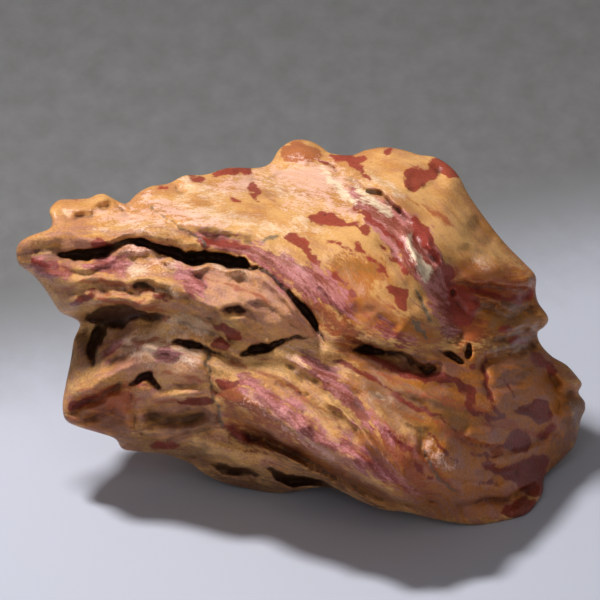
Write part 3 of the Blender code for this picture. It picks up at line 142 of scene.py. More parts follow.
# Heights of the smooth face, before any form is cut into it: u, v, w.
FRONT_SOUNDINGS = [
    (-26, 8.5, 1.4), (-26, 6.4, 1.2), (-24, 9.4, 2), (-24, 11.8, -1.5), (-24, 6.8, 1.6), (-24, 5, 2.6),
    (-24, 3.2, 1.6), (-22.4, 2, 2), (-22.4, -1.5, -5.4), (-22.4, -4.2, -2.6), (-22.4, -7.2, -1.2),
    (-20, 12.2, -1.8), (-20, 11.4, 0.4), (-20, 10.5, 2), (-20, 9.4, 4), (-20, 6.8, 4.2), (-20, 5.5, 5.2),
    (-20, 4.4, 5.4), (-20, 3.4, 4.8), (-20, 2.5, 3.2), (-20, 0.4, -3.6), (-20, -1.6, -2.4), (-20, -4, 0.8),
    (-20, -5.6, 1.6), (-20, -7, 0.8), (-20, -9, -1.2), (-15, 13.3, -3.2), (-15, 12, -0.4),
    (-15, 10.8, 2.4), (-15, 9.8, 4.6), (-15, 6.8, 5.2), (-15, 5.8, 6.4), (-15, 4.6, 7.4), (-15, 3.4, 7.8),
    (-15, 2.3, 6.4), (-15, 0.6, 3), (-15, -0.4, 4.4), (-15, -1.8, 5.6), (-15, -3.4, 5.2), (-15, -6.2, 3.4),
    (-15, -7.4, 2.6), (-15, -8.8, 0.4), (-15, -10.2, 0.2), (-15, -11.5, -1.5), (-10, 14.4, -6),
    (-10, 13, -1.8), (-10, 11.8, 1.2), (-10, 10.6, 3.8), (-10, 9, 5), (-10, 5.8, 6.2), (-10, 4.6, 7.8),
    (-10, 3.2, 8.6), (-10, 1.6, 8.6), (-10, 0, 7.6), (-10, -1.4, 6), (-10, -2.8, 6.6), (-10, -4.6, 6.6),
    (-10, -6.2, 6), (-10, -7.4, 4.8), (-10, -8.8, 2.6), (-10, -10.2, 2.2), (-10, -11.6, 0.6),
    (-10, -13.2, -3), (-5, 15, -9), (-5, 13.5, -4.4), (-5, 12, -0.4), (-5, 10.6, 2.6), (-5, 9, 4.8),
    (-5, 7.4, 6.2), (-5, 5.4, 7.6), (-5, 3.8, 9.2), (-5, 2.2, 9.8), (-5, 0.6, 9.2), (-5, -1, 8),
    (-5, -3.2, 7.8), (-5, -4.6, 8.2), (-5, -6.2, 8.6), (-5, -7.8, 8.2), (-5, -9.4, 5.8), (-5, -10.8, 3.6),
    (-5, -12.2, 2.2), (-5, -13.8, -1), (-5, -15, -5), (0, 16.5, -13), (0, 15.2, -9.6), (0, 13.8, -5.4),
    (0, 12.3, -1.2), (0, 10.8, 1.8), (0, 9.2, 4.4), (0, 7.6, 6), (0, 5.8, 7.4), (0, 4, 8.6), (0, 1.4, 9.2),
    (0, -0.4, 8.8), (0, -2, 8.4), (0, -3.6, 8.8), (0, -5.2, 9.4), (0, -6.8, 10.2), (0, -8.4, 10.8),
    (0, -10, 10.8), (0, -11.6, 7.8), (0, -13.2, 5), (0, -14.6, 0.5), (2.8, 16.8, -14), (5, 16, -10.6),
    (5, 14.4, -6), (5, 12.8, -2), (5, 11.2, 1.2), (5, 9.4, 4), (5, 7.4, 6.2), (5, 5.4, 7.6), (5, 3.2, 8.8),
    (5, 1, 9.2), (5, -0.8, 8.8), (5, -3.2, 8.4), (5, -4.8, 9.4), (5, -6.4, 10.2), (5, -8, 11.6),
    (5, -9.6, 12.8), (5, -11.2, 13.8), (5, -12.8, 13.6), (5, -14.3, 10.2), (5, -15.6, 4.8),
    (10, 16.5, -8.6), (10, 14.8, -5.8), (10, 13.2, -3.2), (10, 11.6, -0.8), (10, 10, 1.6), (10, 8.2, 3.6),
    (10, 6.2, 5.6), (10, 4.2, 7), (10, 2.2, 8.2), (10, 0, 8.8), (10, -1.6, 8.2), (10, -4, 7.8),
    (10, -5.8, 9.4), (10, -7.6, 11), (10, -9.4, 12.6), (10, -11.2, 14), (10, -13, 14.4), (10, -14.7, 12.8),
    (10, -16.3, 8.2), (14, 15.8, -9.4), (15, 14.8, -7), (15, 12.6, -4.4), (15, 10.4, -1.8), (15, 8.4, 0),
    (15, 6.4, 0.8), (15, 4.4, 0.8), (15, 2.4, 1.8), (15, 0.4, 3), (15, -1.6, 4), (15, -3.6, 5.2),
    (15, -5.6, 6.8), (15, -7.4, 8.2), (15, -9.2, 9.6), (15, -11, 10.6), (15, -12.8, 11), (15, -14.6, 10),
    (15, -16.2, 6.8), (15, -17.8, 3.2), (17.6, -7, 4.8), (17.6, -11, 6.8), (17.6, -14, 6.2),
    (20, 7.8, -6.6), (20, 6.2, -4.6), (20, 4.4, -4.4), (20, 2.4, -4), (20, 0.2, -3.6), (20, -2, -2.8),
    (20, -4, -1.2), (20, -6, 0.4), (20, -8, 1.6), (20, -10, 2.2), (20, -12, 2.4), (20, -14, 1.8),
    (20, -15.6, 0.6), (20, -17.3, -1), (23, 4.8, -7.6), (23, 2.6, -8.4), (23, 0, -9.4), (23, -2.2, -8),
    (23, -4.4, -6.4), (23, -6.8, -5.4), (23, -9.2, -4.8), (23, -11.6, -4.8), (23, -14, -4.8),
    (23, -15.8, -4.6), (23, -17.4, -4.4), (26, -4.8, -10.4), (26, -7.2, -9.4), (26, -9.4, -9.4),
    (26, -11.6, -10.2)
]

BACK_SOUNDINGS = [
    (-25.5, 6.8, -4), (-24, 9, -6), (-22, 11.5, -6), (-21, 7.5, -9), (-23, 4, -6.2), (-20, 3, -11.9),
    (-20, -1.5, -13.4), (-21.6, -0.5, -13.6), (-21, -6, -10.5), (-17, 10.5, -10.5), (-15, 6, -15),
    (-15, 0, -14.8), (-16, -7, -12.6), (-16, -10, -9.5), (-12, 12, -12.5), (-10, 7, -18.3),
    (-10, 0, -19.1), (-10, -7, -17.5), (-10, -12, -14), (-6, 13, -16.3), (-4, 7, -21), (-4, 0, -22.2),
    (-4, -7, -21.5), (-5, -12.5, -17.5), (0, 16.5, -20.8), (5, 16.5, -20), (-4, 15, -18.9), (1, 11, -22.2),
    (2, 4, -23.8), (2, -3, -24.5), (1, -10, -22.5), (2, -14, -20.5), (7, 15.5, -17.8), (8, 10, -20.7),
    (9, 3, -23.5), (9, -4, -25), (9, -11, -24.5), (9, -16, -18), (13, 14.5, -15.9), (14, 9, -18.2),
    (15, 2, -22), (16, -5, -23.5), (16, -12, -22), (16, -17, -13.5), (20, 6, -16.5), (21, 0, -18.5),
    (22, -7, -20), (22, -13, -17.5), (21, -17, -10.5), (24.5, -2, -16), (26, -8, -17.5)
]

# Lines that the bands of the stone follow, each with its place s across the bands.
BAND_LINES = [
    (0.0, [(-28, 8.3), (-20, 8.4), (-13.5, 8.3), (-5, 6.6), (0, 2.8), (2.5, -0.8), (8, -2.4), (14, -3.7),
     (20, -4.7), (28, -5.8)]),
    (-4.0, [(-27, 5.5), (-17, 4.3), (-8, 1.8), (-1, -1.7), (5, -3.7), (10, -6.6), (15.2, -9.8), (20, -11.5),
     (26, -13.2)]),
    (-8.0, [(-22.5, 0.5), (-13.5, 0.8), (-6.5, -2.7), (-1.5, -3.7), (4.5, -8.3), (8.3, -12.6),
     (11.2, -16.1), (15.5, -19.2)]),
    (-11.0, [(-23, -5), (-17, -4.8), (-8.5, -4.7), (-2.8, -7.4), (2.2, -11.4), (7.2, -14.7),
     (13.2, -17.5)]),
    (-15.0, [(-23, -8.5), (-17, -9.7), (-7.8, -9.6), (-2.5, -11.6), (4, -14.5), (9.8, -17.4)]),
    (-19.0, [(-18, -11.7), (-10, -13.2), (0, -16.1)]),
    (4.5, [(-25, 12.3), (-19, 12.3), (-10, 11.3), (-1, 9), (5, 4), (10, 0), (15.5, -1.2), (24.5, -1.6)]),
    (9.0, [(-12, 15.2), (-4, 14.8), (3, 11.3), (8, 6.6), (12, 1.8), (16, 0.8), (24.5, 0.8)]),
    (14.0, [(-3.5, 16.6), (5, 14.3), (10.5, 11.3), (14.6, 6.1), (24, 4.9)]),
    (19.0, [(5, 17.5), (12, 15.2), (18, 9.4), (23, 6.8)]),
]
print(len(OUTLINE), "points on the edge,", len(FRONT_SOUNDINGS + BACK_SOUNDINGS), "soundings")

# %% [markdown]
# ## Tools for drawn lines
#
# Nearly every form on this stone is a line: a gash, a crest, a fold. So the basic tool is a smooth
# curve through a few points, and the question "how far is this place from the curve, and on which
# side?". Once that is known for every vertex at once, a groove or a lip is one short formula.


# %% Curves and distances
def smooth_line(points, steps=5, closed=False):
    """A Catmull-Rom curve through the points, with this many steps between each two."""
    given = np.array(points, float)
    if closed:
        padded = np.vstack([given[-1], given, given[:2]])
    else:
        padded = np.vstack([2 * given[0] - given[1], given, 2 * given[-1] - given[-2]])
    t = np.linspace(0, 1, steps, endpoint=False)[:, None]
    pieces = []
    for a, b, c, d in zip(padded, padded[1:], padded[2:], padded[3:]):
        cubic = 3 * b - a - 3 * c + d
        pieces.append(0.5 * (2 * b + (c - a) * t + (2 * a - 5 * b + 4 * c - d) * t**2 + cubic * t**3))
    pieces.append(given[:1] if closed else given[-1:])
    return np.vstack(pieces)


def ease(x):
    x = np.clip(x, 0, 1)
    return x * x * (3 - 2 * x)


def nearest(places, line):
    """For each place: distance to the line, side (+1 on its left), share along it, its width there."""
    distance = np.full(len(places), 1e9)
    side, share, width = np.zeros((3, len(places)))
    legs = np.diff(line[:, :2], axis=0)
    lengths = np.hypot(*legs.T)
    before = np.concatenate([[0], np.cumsum(lengths)])
    for i, leg in enumerate(legs):
        if lengths[i] == 0:
            continue
        from_start = places - line[i, :2]
        along = np.clip(from_start @ leg / lengths[i] ** 2, 0, 1)
        across = from_start - along[:, None] * leg
        here = np.hypot(*across.T)
        closer = here < distance
        distance[closer] = here[closer]
        side[closer] = np.sign(leg[0] * from_start[closer, 1] - leg[1] * from_start[closer, 0])
        share[closer] = (before[i] + along[closer] * lengths[i]) / before[-1]
        if line.shape[1] > 2:
            width[closer] = line[i, 2] + along[closer] * (line[i + 1, 2] - line[i, 2])
    return distance, side, share, width


def around(places, line, reach):
    """Which places lie in the box around the line, so that no time goes on the rest."""
    low = line[:, :2].min(0) - reach
    high = line[:, :2].max(0) + reach
    return np.where(((places > low) & (places < high)).all(1))[0]


def faded(share, ends):
    """1 along a line, and easing to 0 over these shares of it at its two ends."""
    return ease(np.minimum(share / ends[0], (1 - share) / ends[1]))


rim_line = smooth_line(OUTLINE, 6, closed=True)
edge_length = np.hypot(*np.diff(rim_line[:, :2], axis=0).T).sum()
print("the edge is", round(edge_length), "mm long, drawn as", len(rim_line) - 1, "short legs")

# %% [markdown]
# ## The kinds of form
#
# Five kinds of form carve the whole stone. A groove and a ridge are soft bells across a line. A slot
# is an open gash with steep walls, whose width changes along it. A ledge is a lip that bulges on one
# side of its line and drops away on the other, as where a fold laps over what lies below. A lump is
# a round swelling. Each one adds its height to the relief and leaves the rest alone.


# %% Groove, ridge, slot, ledge, lump
def groove(places, relief, points, width, depth, sharp=1.4, ends=(0.25, 0.25)):
    line = smooth_line(points)
    near = around(places, line, 4 * width)
    distance, _, share, _ = nearest(places[near], line)
    relief[near] -= depth * faded(share, ends) * np.exp(-((distance / width) ** sharp))


def ridge(places, relief, points, width, height, sharp=1.6, ends=(0.25, 0.25)):
    groove(places, relief, points, width, -height, sharp, ends)


def slot(places, relief, points, depth):
    """An open gash with steep walls; each of its points carries the half-width there."""
    line = smooth_line(points)
    widest = line[:, 2].max()
    near = around(places, line, widest + 0.5)
    distance, _, _, width = nearest(places[near], line)
    width = np.maximum(width, 0.01)
    profile = np.sqrt(np.clip(1 - (distance / width) ** 2, 0, 1))
    relief[near] -= depth * (width / widest) ** 0.7 * profile


def ledge(places, relief, points, drop, reach, edge, bulge, bulge_width, ends=(0.2, 0.2)):
    """A lip that bulges on the left of the line and drops away on its right."""
    line = smooth_line(points)
    near = around(places, line, 3.5 * max(reach, bulge_width))
    distance, side, share, _ = nearest(places[near], line)
    fallen = ease(distance / edge)
    below = -drop * fallen * np.exp(-((distance / reach) ** 1.5))
    lip = bulge * np.exp(-((distance / bulge_width) ** 2))
    low_side = side < 0
    relief[near] += faded(share, ends) * np.where(low_side, below + lip * (1 - fallen), lip)


def lump(places, relief, middle, radii, height, degrees):
    turn = math.radians(degrees)
    u, v = (places - middle).T
    along = (u * math.cos(turn) + v * math.sin(turn)) / radii[0]
    across = (v * math.cos(turn) - u * math.sin(turn)) / radii[1]
    relief += height * np.exp(-(along**2) - across**2)


# %% [markdown]
# ## The forms themselves
#
# This is the map of the stone. Each entry names one form, so that a reader can find it on the
# surface, and gives its points and sizes. The order doesn't matter, because heights only add up.

# %% Broad swells of the face
# Kind, name, points, and the sizes in the order that the kind's function takes them.
BROAD_SWELLS = [
    (lump, "rounded knob above the brow", (-21.6, 12.4), (3.4, 1), 0.9, 5),
    (lump, "shoulder at the top right", (10.5, 15.2), (3.6, 2.4), 1.1, 60),
    (lump, "swelling behind the brow", (-15.2, 9.6), (4, 1.1), 0.8, 0),
    (lump, "knob behind the top edge", (0, 18), (2, 1.2), 1.2, 0),
    (lump, "mouth of the big hollow", (-18.2, 0.8), (2.6, 0.9), -1.6, -6),
    (ridge, "brow over the big hollow", [(-21.6, 2.2), (-20.2, 2.7), (-18.6, 3), (-17, 3), (-15.4, 2.6),
     (-14, 1.8)], 0.6, 0.8),
    (lump, "cheek above the lower gash", (11.8, 1.2), (3, 2.4), 1.2, -30),
    (lump, "body of the middle block", (-11, 4), (7, 1.6), 0.6, -12),
    (lump, "prow of the lower block", (-21.4, -6.2), (2.4, 1.2), 0.9, 25),
    (lump, "front of the lower block", (-12.2, -4.2), (3.4, 1.8), 0.9, 0),
    (lump, "right flank", (20.6, 6.2), (3.6, 1.4), 0.8, -8),
    (lump, "lower right lobe", (23, -7), (3.6, 3.4), 0.8, 0),
    (lump, "bulge above the foot", (15.5, -14), (3.4, 2.2), 0.4, -30),
    (lump, "foot at the lower right", (22.2, -17.5), (1.6, 0.9), 0.9, 15),
    (lump, "shell under the keel", (-6.4, -12.6), (2.6, 0.9), 0.7, -20),
]

# %% The brow and the long gash
BROW = [
    (groove, "furrow under the knob", [(-23.8, 11), (-22.6, 11), (-20.3, 11.6),
     (-18.6, 12.7)], 0.5, 0.9, 1.6, (0.25, 0.15)),
    (groove, "furrow over the knob", [(-23.4, 12.4), (-22, 12.6), (-20.6, 12.7)], 0.5, 0.2),
    (ridge, "crest of the brow", [(-25.6, 9), (-23.8, 9.7), (-22.2, 9.3), (-20.5, 8.8), (-18.8, 9),
     (-17.2, 9.8), (-15.8, 10.3), (-14.2, 9.8), (-12, 9.3)], 0.6, 0.8, 1.8),
    (groove, "hollow in the brow", [(-22, 10.1), (-20.2, 9.9), (-18.6, 10.4)], 0.6, 0.5),
    (slot, "pocket under the brow", [(-24.4, 7.4, 0.08), (-22.4, 7.5, 0.5), (-20.1, 7.6, 0.46),
     (-17.2, 8.6, 0.14)], 3.4),
    (slot, "long gash under the brow", [(-17.8, 8.6, 0.1), (-16.6, 8.9, 0.26), (-15.4, 8.7, 0.34),
     (-13, 7.7, 0.46), (-10.5, 7.2, 0.74), (-9.2, 7.2, 0.66), (-6.7, 6.8, 0.64), (-5.6, 6.6, 0.46),
     (-4.1, 5.9, 0.1)], 6.4),
    (groove, "shade beyond the tip", [(-27, 7.8), (-26, 8.1), (-24.8, 8.1), (-23.4, 7.8)], 0.6, 0.5),
    (slot, "crack beside the middle block", [(-4.4, 6.2, 0.2), (-2.1, 4.6, 0.2), (-0.1, 2.8, 0.34),
     (1.3, 0.9, 0.32), (2.4, -1.2, 0.08)], 3.8),
    (ledge, "block edge over the crack", [(2.2, -0.8), (-0.8, 3.2), (-3.8, 5.5),
     (-5.4, 6.2)], 0.7, 1.2, 0.3, 0.5, 0.8),
    (ridge, "lip over the gash", [(-20, 8.7), (-18.4, 8.9), (-17.6, 9.5), (-16.2, 9.9), (-13.2, 8.9),
     (-10.4, 8.7), (-8, 8.2), (-5.4, 7.8)], 0.35, 0.5, 1.6, (0.15, 0.2)),
    (ridge, "crest under the gash, left", [(-24.2, 6.8), (-22.4, 6.2), (-20.8, 6.2), (-18.4, 7.4),
     (-17, 7.9), (-15.6, 7.8), (-14.4, 6.8)], 0.4, 0.6, 1.6),
    (ridge, "crest under the gash, middle", [(-14.2, 6.6), (-12.8, 6.6), (-11.6, 6.1), (-10.4, 5.9),
     (-9.2, 6.1), (-7.6, 5.8), (-6, 6), (-4.8, 5.5), (-3, 4.4), (-1.2, 2.7), (0.4, 0.6),
     (1.6, -1.4)], 0.45, 0.7, 1.6, (0.1, 0.1)),
    (lump, "knuckle on the crest", (-10.4, 6.2), (0.7, 0.3), 0.45, -10),
    (lump, "second knuckle", (-6, 6), (0.6, 0.4), 0.4, 0),
    (groove, "shadow line below the tip", [(-24, 6.2), (-22.2, 5.6), (-20.4, 5.6), (-18.8, 6.2)], 0.5, 0.5),
]

# %% The middle block
MIDDLE_BLOCK = [
    (ledge, "brow of the small slit", [(-17.4, 4.8), (-16, 5), (-14.8, 4.9), (-13.4, 4.4),
     (-12, 3.5)], 0.8, 1.3, 0.25, 0.5, 0.9),
    (slot, "small slit", [(-16.9, 4.4, 0.06), (-16, 4.6, 0.24), (-13.1, 3.8, 0.06)], 1.4),
    (groove, "left dimple of the block", [(-24.2, 3.4), (-22, 4.1), (-20, 4), (-18.2, 3.4)], 0.8, 0.6),
    (ridge, "rim over the big hollow", [(-23.8, 2.4), (-19.6, 3.2), (-17.4, 3),
     (-13.4, 1.7)], 0.5, 0.7, 1.7),
    (ledge, "lid of the second slit", [(-9.6, 1.7), (-6.5, 2.4), (-5, 2.1),
     (-3.6, 1)], 0.5, 1.1, 0.25, 0.4, 0.9),
    (slot, "second slit", [(-8, 1.9, 0.05), (-7, 2.2, 0.18), (-6, 2.1, 0.17), (-4.8, 1.6, 0.05)], 1.2),
    (ridge, "bead under the second slit", [(-7.8, 1.4), (-6.4, 1.5), (-5, 1), (-3.8, 0)], 0.35, 0.4),
    (groove, "line right of the big hollow", [(-13.2, 1.6), (-11.4, 1.3), (-9.5, 1.2),
     (-7.8, 0.8)], 0.4, 0.7),
    (lump, "tooth in the cave", (-3, -1.5), (0.5, 0.3), 1.2, -20),
    (groove, "dent on the block", [(-8.6, 3.4), (-7.4, 3.8), (-6.4, 3.4)], 0.5, 0.25),
    (slot, "big hollow", [(-21.8, 1.1, 0.2), (-21, 1.3, 0.6), (-18.9, 1.2, 1.3), (-16.5, 1.5, 0.8),
     (-12.8, 0.9, 0.1)], 3),
    (slot, "hollow below it", [(-20, 0, 0.6), (-20.4, -1, 0.75), (-20.8, -2.7, 0.45),
     (-20.6, -3.5, 0.14)], 2.4),
    (groove, "underside of the block", [(-13.5, 0.8), (-11.2, 0.3), (-5, -1.6)], 0.55, 0.9, 1.6),
    (lump, "first bead in the seam", (-7.8, -1.3), (1.3, 0.8), 0.7, -20),
    (lump, "second bead in the seam", (-7.4, 0), (1.5, 0.6), 0.5, -15),
    (slot, "cave under the block", [(-5.9, -2.4, 0.08), (-5.1, -2.1, 0.36), (-3.3, -1.8, 0.44),
     (-2.3, -1.4, 0.3), (0, -0.9, 0.16), (1.4, -1, 0.06)], 3.4),
    (slot, "seam below the middle block", [(-13.1, -0.9, 0.06), (-10.5, -1.6, 0.3), (-7.8, -2.6, 0.12),
     (-6, -3.1, 0.08)], 2.6),
    (ledge, "lid of the seam", [(-13.7, -0.6), (-11.8, -0.9), (-6.8, -2.3),
     (-4.8, -3)], 0.6, 1.1, 0.25, 0.4, 0.9),
]

# %% The lower block
LOWER_BLOCK = [
    (ridge, "top crest of the lower block", [(-20.4, -3.6), (-19.6, -2.2), (-17.4, -0.4), (-15.6, 0.1),
     (-14, 0.4), (-12.4, 0)], 0.5, 0.8, 1.6),
    (groove, "dip behind its nose", [(-19.6, -4.2), (-18.4, -3.2), (-17, -2.4)], 0.5, 0.5),
    (ridge, "nose crest", [(-23, -7.4), (-21.8, -6.2), (-18.8, -4.4), (-17.2, -3.9),
     (-15.8, -3.8)], 0.7, 1.1, 1.8),
    (groove, "furrow under the nose", [(-23.6, -9), (-21.8, -7.6), (-20, -6.4),
     (-16.7, -5.2)], 0.55, 1.6, 1.5),
    (ridge, "strap under the furrow", [(-22.2, -8.8), (-20.6, -7.6), (-18.8, -6.7),
     (-17.2, -6.3)], 0.35, 0.6),
    (groove, "second furrow", [(-22, -9.8), (-19.2, -8), (-17.6, -7.4)], 0.35, 0.9),
    (groove, "third furrow", [(-20.6, -10.2), (-18, -8.8), (-17, -8.4)], 0.3, 0.5),
    (slot, "pit under the front", [(-17, -5.8, 0.08), (-16.4, -5, 0.28), (-15.6, -4.7, 0.34),
     (-14.8, -4.9, 0.34), (-13.8, -6.1, 0.06)], 2.6),
    (lump, "tongue in the pit", (-15.7, -5.9), (0.9, 0.5), 0.9, -10),
    (groove, "upright furrow", [(-16.6, -6), (-16.9, -7.5), (-16.7, -9), (-16.6, -10.6)], 0.3, 0.8),
    (ridge, "crest right of the upright furrow", [(-15.8, -6.8), (-11.8, -6.4), (-9.4, -6.3)], 0.6, 0.7),
    (groove, "hollow under that crest", [(-16.2, -8.2), (-14.2, -8.6), (-12, -8.7),
     (-8.3, -8)], 0.8, 1.7, 1.8),
    (ledge, "sill under the hollow", [(-16.6, -9.7), (-15, -10.4), (-13.3, -10.7), (-9.6, -9.7),
     (-7.8, -9.4)], 1, 1.1, 0.25, 0.6, 0.7),
    (groove, "grey crack", [(-9.5, -1.6), (-9.2, -2.6), (-9.3, -3.4), (-9, -4.4), (-9, -5.4), (-8.7, -6),
     (-8.8, -6.8), (-8.3, -7.6), (-8.2, -8.4), (-7.8, -9.8)], 0.22, 1, 1.2, (0.1, 0.1)),
    (groove, "bands on the front", [(-15, -2.6), (-13, -2.3), (-11, -2.7)], 0.4, 0.4),
    (groove, "low band on the front", [(-13.2, -5), (-11.4, -5.4), (-9.5, -5.4)], 0.35, 0.4),
]

# %% The lower band and the keel
KEEL = [
    (ridge, "lower band", [(-18.2, -11), (-16, -11.6), (-12.5, -11.4), (-10, -11.1), (-7.8, -11.8),
     (-5.5, -13)], 0.6, 0.6),
    (ledge, "underside of the great fold", [(-8.4, -8.4), (-3.8, -9.7), (5.2, -14.1),
     (12.4, -18)], 3, 2.4, 0.45, 0.7, 1.2, (0.2, 0.08)),
    (groove, "trough above the keel", [(-7.4, -9.8), (-2.2, -11.6), (7, -15.9),
     (9.8, -17.4)], 0.6, 1.2, 1.7, (0.15, 0.1)),
    (ridge, "keel", [(-5.6, -11), (-1.8, -12.5), (0.2, -13.6), (8.4, -17.8)], 0.34, 2.2, 1.5, (0.15, 0.05)),
    (slot, "hollow under the keel", [(-3.4, -14, 0.1), (-0.8, -15, 0.6), (2.4, -15.5, 0.36),
     (4.2, -16.1, 0.1)], 3.8),
    (slot, "shell hollow", [(-10, -13.2, 0.1), (-7, -14.1, 0.6), (-5.2, -14.3, 0.5),
     (-4, -14.3, 0.1)], 1.8),
    (ledge, "edge of the lower band", [(-15, -12.2), (-10, -12.2), (-7.8, -12.6), (-5.4, -13.4),
     (-3.2, -14)], 1.6, 1.6, 0.35, 0.5, 0.8, (0.25, 0.2)),
    (slot, "slit at the foot of the keel", [(5, -16.1, 0.05), (8, -17.6, 0.16), (9, -17.9, 0.05)], 1.4),
]

# %% The oblique folds
FOLDS = [
    (ridge, "great oblique fold", [(-8.8, -5.4), (-3.6, -7.8), (2, -11.7), (7.2, -15.1), (10.2, -16.6),
     (13.6, -17.8)], 2, 1.8, 2, (0.12, 0.15)),
    (ridge, "crest line of the great fold", [(-7.2, -6.4), (-2.2, -8.8), (5, -13.8)], 0.6, 0.5, 1.6),
    (groove, "trough beside the fold", [(-6.2, -3.8), (-3.6, -4.6), (1.2, -7.4), (5, -11), (9.8, -15.3),
     (13, -17)], 0.6, 0.6, 1.6, (0.25, 0.05)),
    (ridge, "sharp rib", [(1.8, -6.2), (3.4, -7.2), (4.6, -8.3), (8.4, -12.6), (10.6, -15.4),
     (11.4, -16.2)], 0.26, 1.3, 1.2, (0.2, 0.08)),
    (groove, "furrow right of the eye", [(-1.6, -3.2), (-0.6, -4.1), (0.5, -5.5)], 0.4, 0.6),
    (slot, "pinhole", [(-0.4, -6.5, 0.06), (0.2, -6.5, 0.18), (0.8, -6.4, 0.06)], 0.8),
    (ridge, "second fold", [(-1, -2.2), (0.4, -3.2), (3.8, -6.4), (5.2, -8)], 0.6, 0.9),
    (groove, "furrow between folds", [(1.4, -2.8), (5, -6.1), (8, -9.8)], 0.5, 0.4),
    (ridge, "third fold", [(3.4, -2.8), (5.4, -4.6), (10.2, -8.6), (12.2, -10.8),
     (13.4, -12.8)], 1.1, 0.6, 2),
    (groove, "red line", [(5, -3.4), (10, -6.5), (12.4, -7.8), (15.6, -10)], 0.32, 0.4, 1.4),
    (ridge, "fourth fold", [(6.6, -3.6), (9.8, -5.4), (12.8, -6.8), (15.4, -8.3),
     (17.2, -9.8)], 1.1, 0.5, 2),
    (groove, "short furrows on the folds", [(8.4, -10), (9.8, -11.2), (11.2, -12.1)], 0.35, 0.35),
    (groove, "furrow before the bulge", [(11.6, -10), (13, -11.4), (14, -12.8), (15.2, -13.8)], 0.5, 0.6),
    (lump, "bright bulge", (14.1, -12.5), (1, 1.6), 0.9, -40),
    (ridge, "lip of the bright bulge", [(12.8, -10.6), (13.1, -11.7), (13.7, -12.8),
     (14.6, -13.8)], 0.4, 0.5),
    (ridge, "second lip there", [(14.4, -14.8), (15, -15.4), (15.5, -16)], 0.4, 0.4),
    (groove, "grey vein", [(12, -9.8), (12.4, -12.4), (13.8, -14.6), (15.6, -16.2)], 0.26, 0.8),
    (slot, "pit near the foot", [(12.2, -16.8, 0.08), (12.9, -17.1, 0.26), (13.6, -17.3, 0.08)], 1),
]

# %% The lower gash
LOWER_GASH = [
    (ledge, "lip of the lower gash", [(4.4, -0.2), (5.6, -1.1), (9, -1.8), (11, -2.7), (13, -3.4),
     (14.4, -3)], 1.3, 1.8, 0.35, 0.7, 1.2, (0.2, 0.12)),
    (slot, "lower gash", [(5, -2.3, 0.06), (6.6, -1.8, 0.38), (7.5, -1.8, 0.4), (9.4, -2.4, 0.16),
     (11.3, -3.4, 0.14), (12.8, -4.1, 0.26), (13.6, -4.1, 0.1)], 3.2),
    (slot, "gash to its right", [(13.6, -1.9, 0.08), (15.2, -2.8, 0.26), (16.8, -3.6, 0.06)], 2.4),
    (slot, "slit above it", [(13.8, -1.1, 0.04), (15, -1.3, 0.14), (16.4, -1.6, 0.04)], 1.2),
    (slot, "hole at the corner", [(17.1, -1.1, 0.1), (16.9, -2.3, 0.34), (16.6, -3, 0.1)], 3),
    (groove, "edge of the cheek", [(14.4, 0), (15.4, -0.8), (16.8, -1.2)], 0.4, 0.6),
    (ridge, "lower lip of the gash", [(5, -3.2), (7.2, -3), (9.6, -3.8), (12, -5), (14.6, -4.8),
     (17, -5.6)], 0.5, 0.5),
]

# %% The lower right lobe
LOBE = [
    (ledge, "crescent on the lobe", [(15.6, -10), (16.4, -10.7), (18.2, -11.4), (19.4, -11.3),
     (20.6, -10.9)], 0.9, 1.2, 0.3, 0.5, 0.8, (0.2, 0.2)),
    (ledge, "second crescent", [(14.6, -14.4), (15.8, -14.8), (17.4, -15),
     (19.2, -14.9)], 0.5, 0.9, 0.3, 0.3, 0.7, (0.2, 0.3)),
    (ridge, "bead between crescents", [(17, -12.8), (19, -13.4), (21.4, -13.2)], 0.7, 0.5),
    (ledge, "edge above the foot", [(15.2, -17.1), (19.4, -16.6), (22.4, -15.8),
     (23.8, -14.9)], 1.5, 1.4, 0.3, 0.6, 1, (0.15, 0.1)),
    (groove, "crack under that edge", [(16.6, -17.3), (18.2, -17.2), (21.4, -16.7)], 0.3, 0.8),
    (groove, "crack beside the foot", [(20.8, -19), (21.2, -17.8), (21.8, -17)], 0.3, 0.6),
    (groove, "crease under the flank", [(18.4, -5.2), (18.5, -3.6), (19.4, -2.7), (22.8, -1.9),
     (24.3, -1.3)], 0.45, 1.5, 1.4, (0.35, 0.05)),
    (ridge, "brow of that crease", [(17.4, -2), (19, -1.6), (22.8, -0.8)], 0.6, 0.6),
    (groove, "layer lines on the lobe", [(19.4, -3.8), (20.8, -3.4), (22.4, -3.4), (23.8, -3.8)], 0.3, 0.4),
    (groove, "third layer line", [(20, -4.8), (21.6, -4.5), (23.4, -4.8)], 0.25, 0.35),
    (groove, "layer lines below", [(18.8, -5.8), (20.8, -5.4), (23.2, -5.5)], 0.35, 0.5),
    (groove, "notch line", [(22.8, -11.2), (24.5, -11.2), (26.2, -10.6)], 0.4, 0.5),
    (groove, "lobe edge line", [(24.4, -3.6), (26, -5.8), (27, -6.4),
     (28.4, -6.4)], 0.45, 0.8, 1.5, (0.3, 0.05)),
    (groove, "seam before the lobe", [(24.6, -3.2), (25.1, -4.6), (25.4, -6.2), (25.2, -8.2), (24.6, -10.2),
     (24.3, -12)], 0.5, 0.5),
    (ridge, "roll on the lobe", [(26.6, -7), (27.4, -8), (27.2, -9.4)], 0.5, 0.5),
    (groove, "lobe side furrow", [(24, -7.2), (25.2, -8.4), (25.6, -10)], 0.5, 0.4),
]

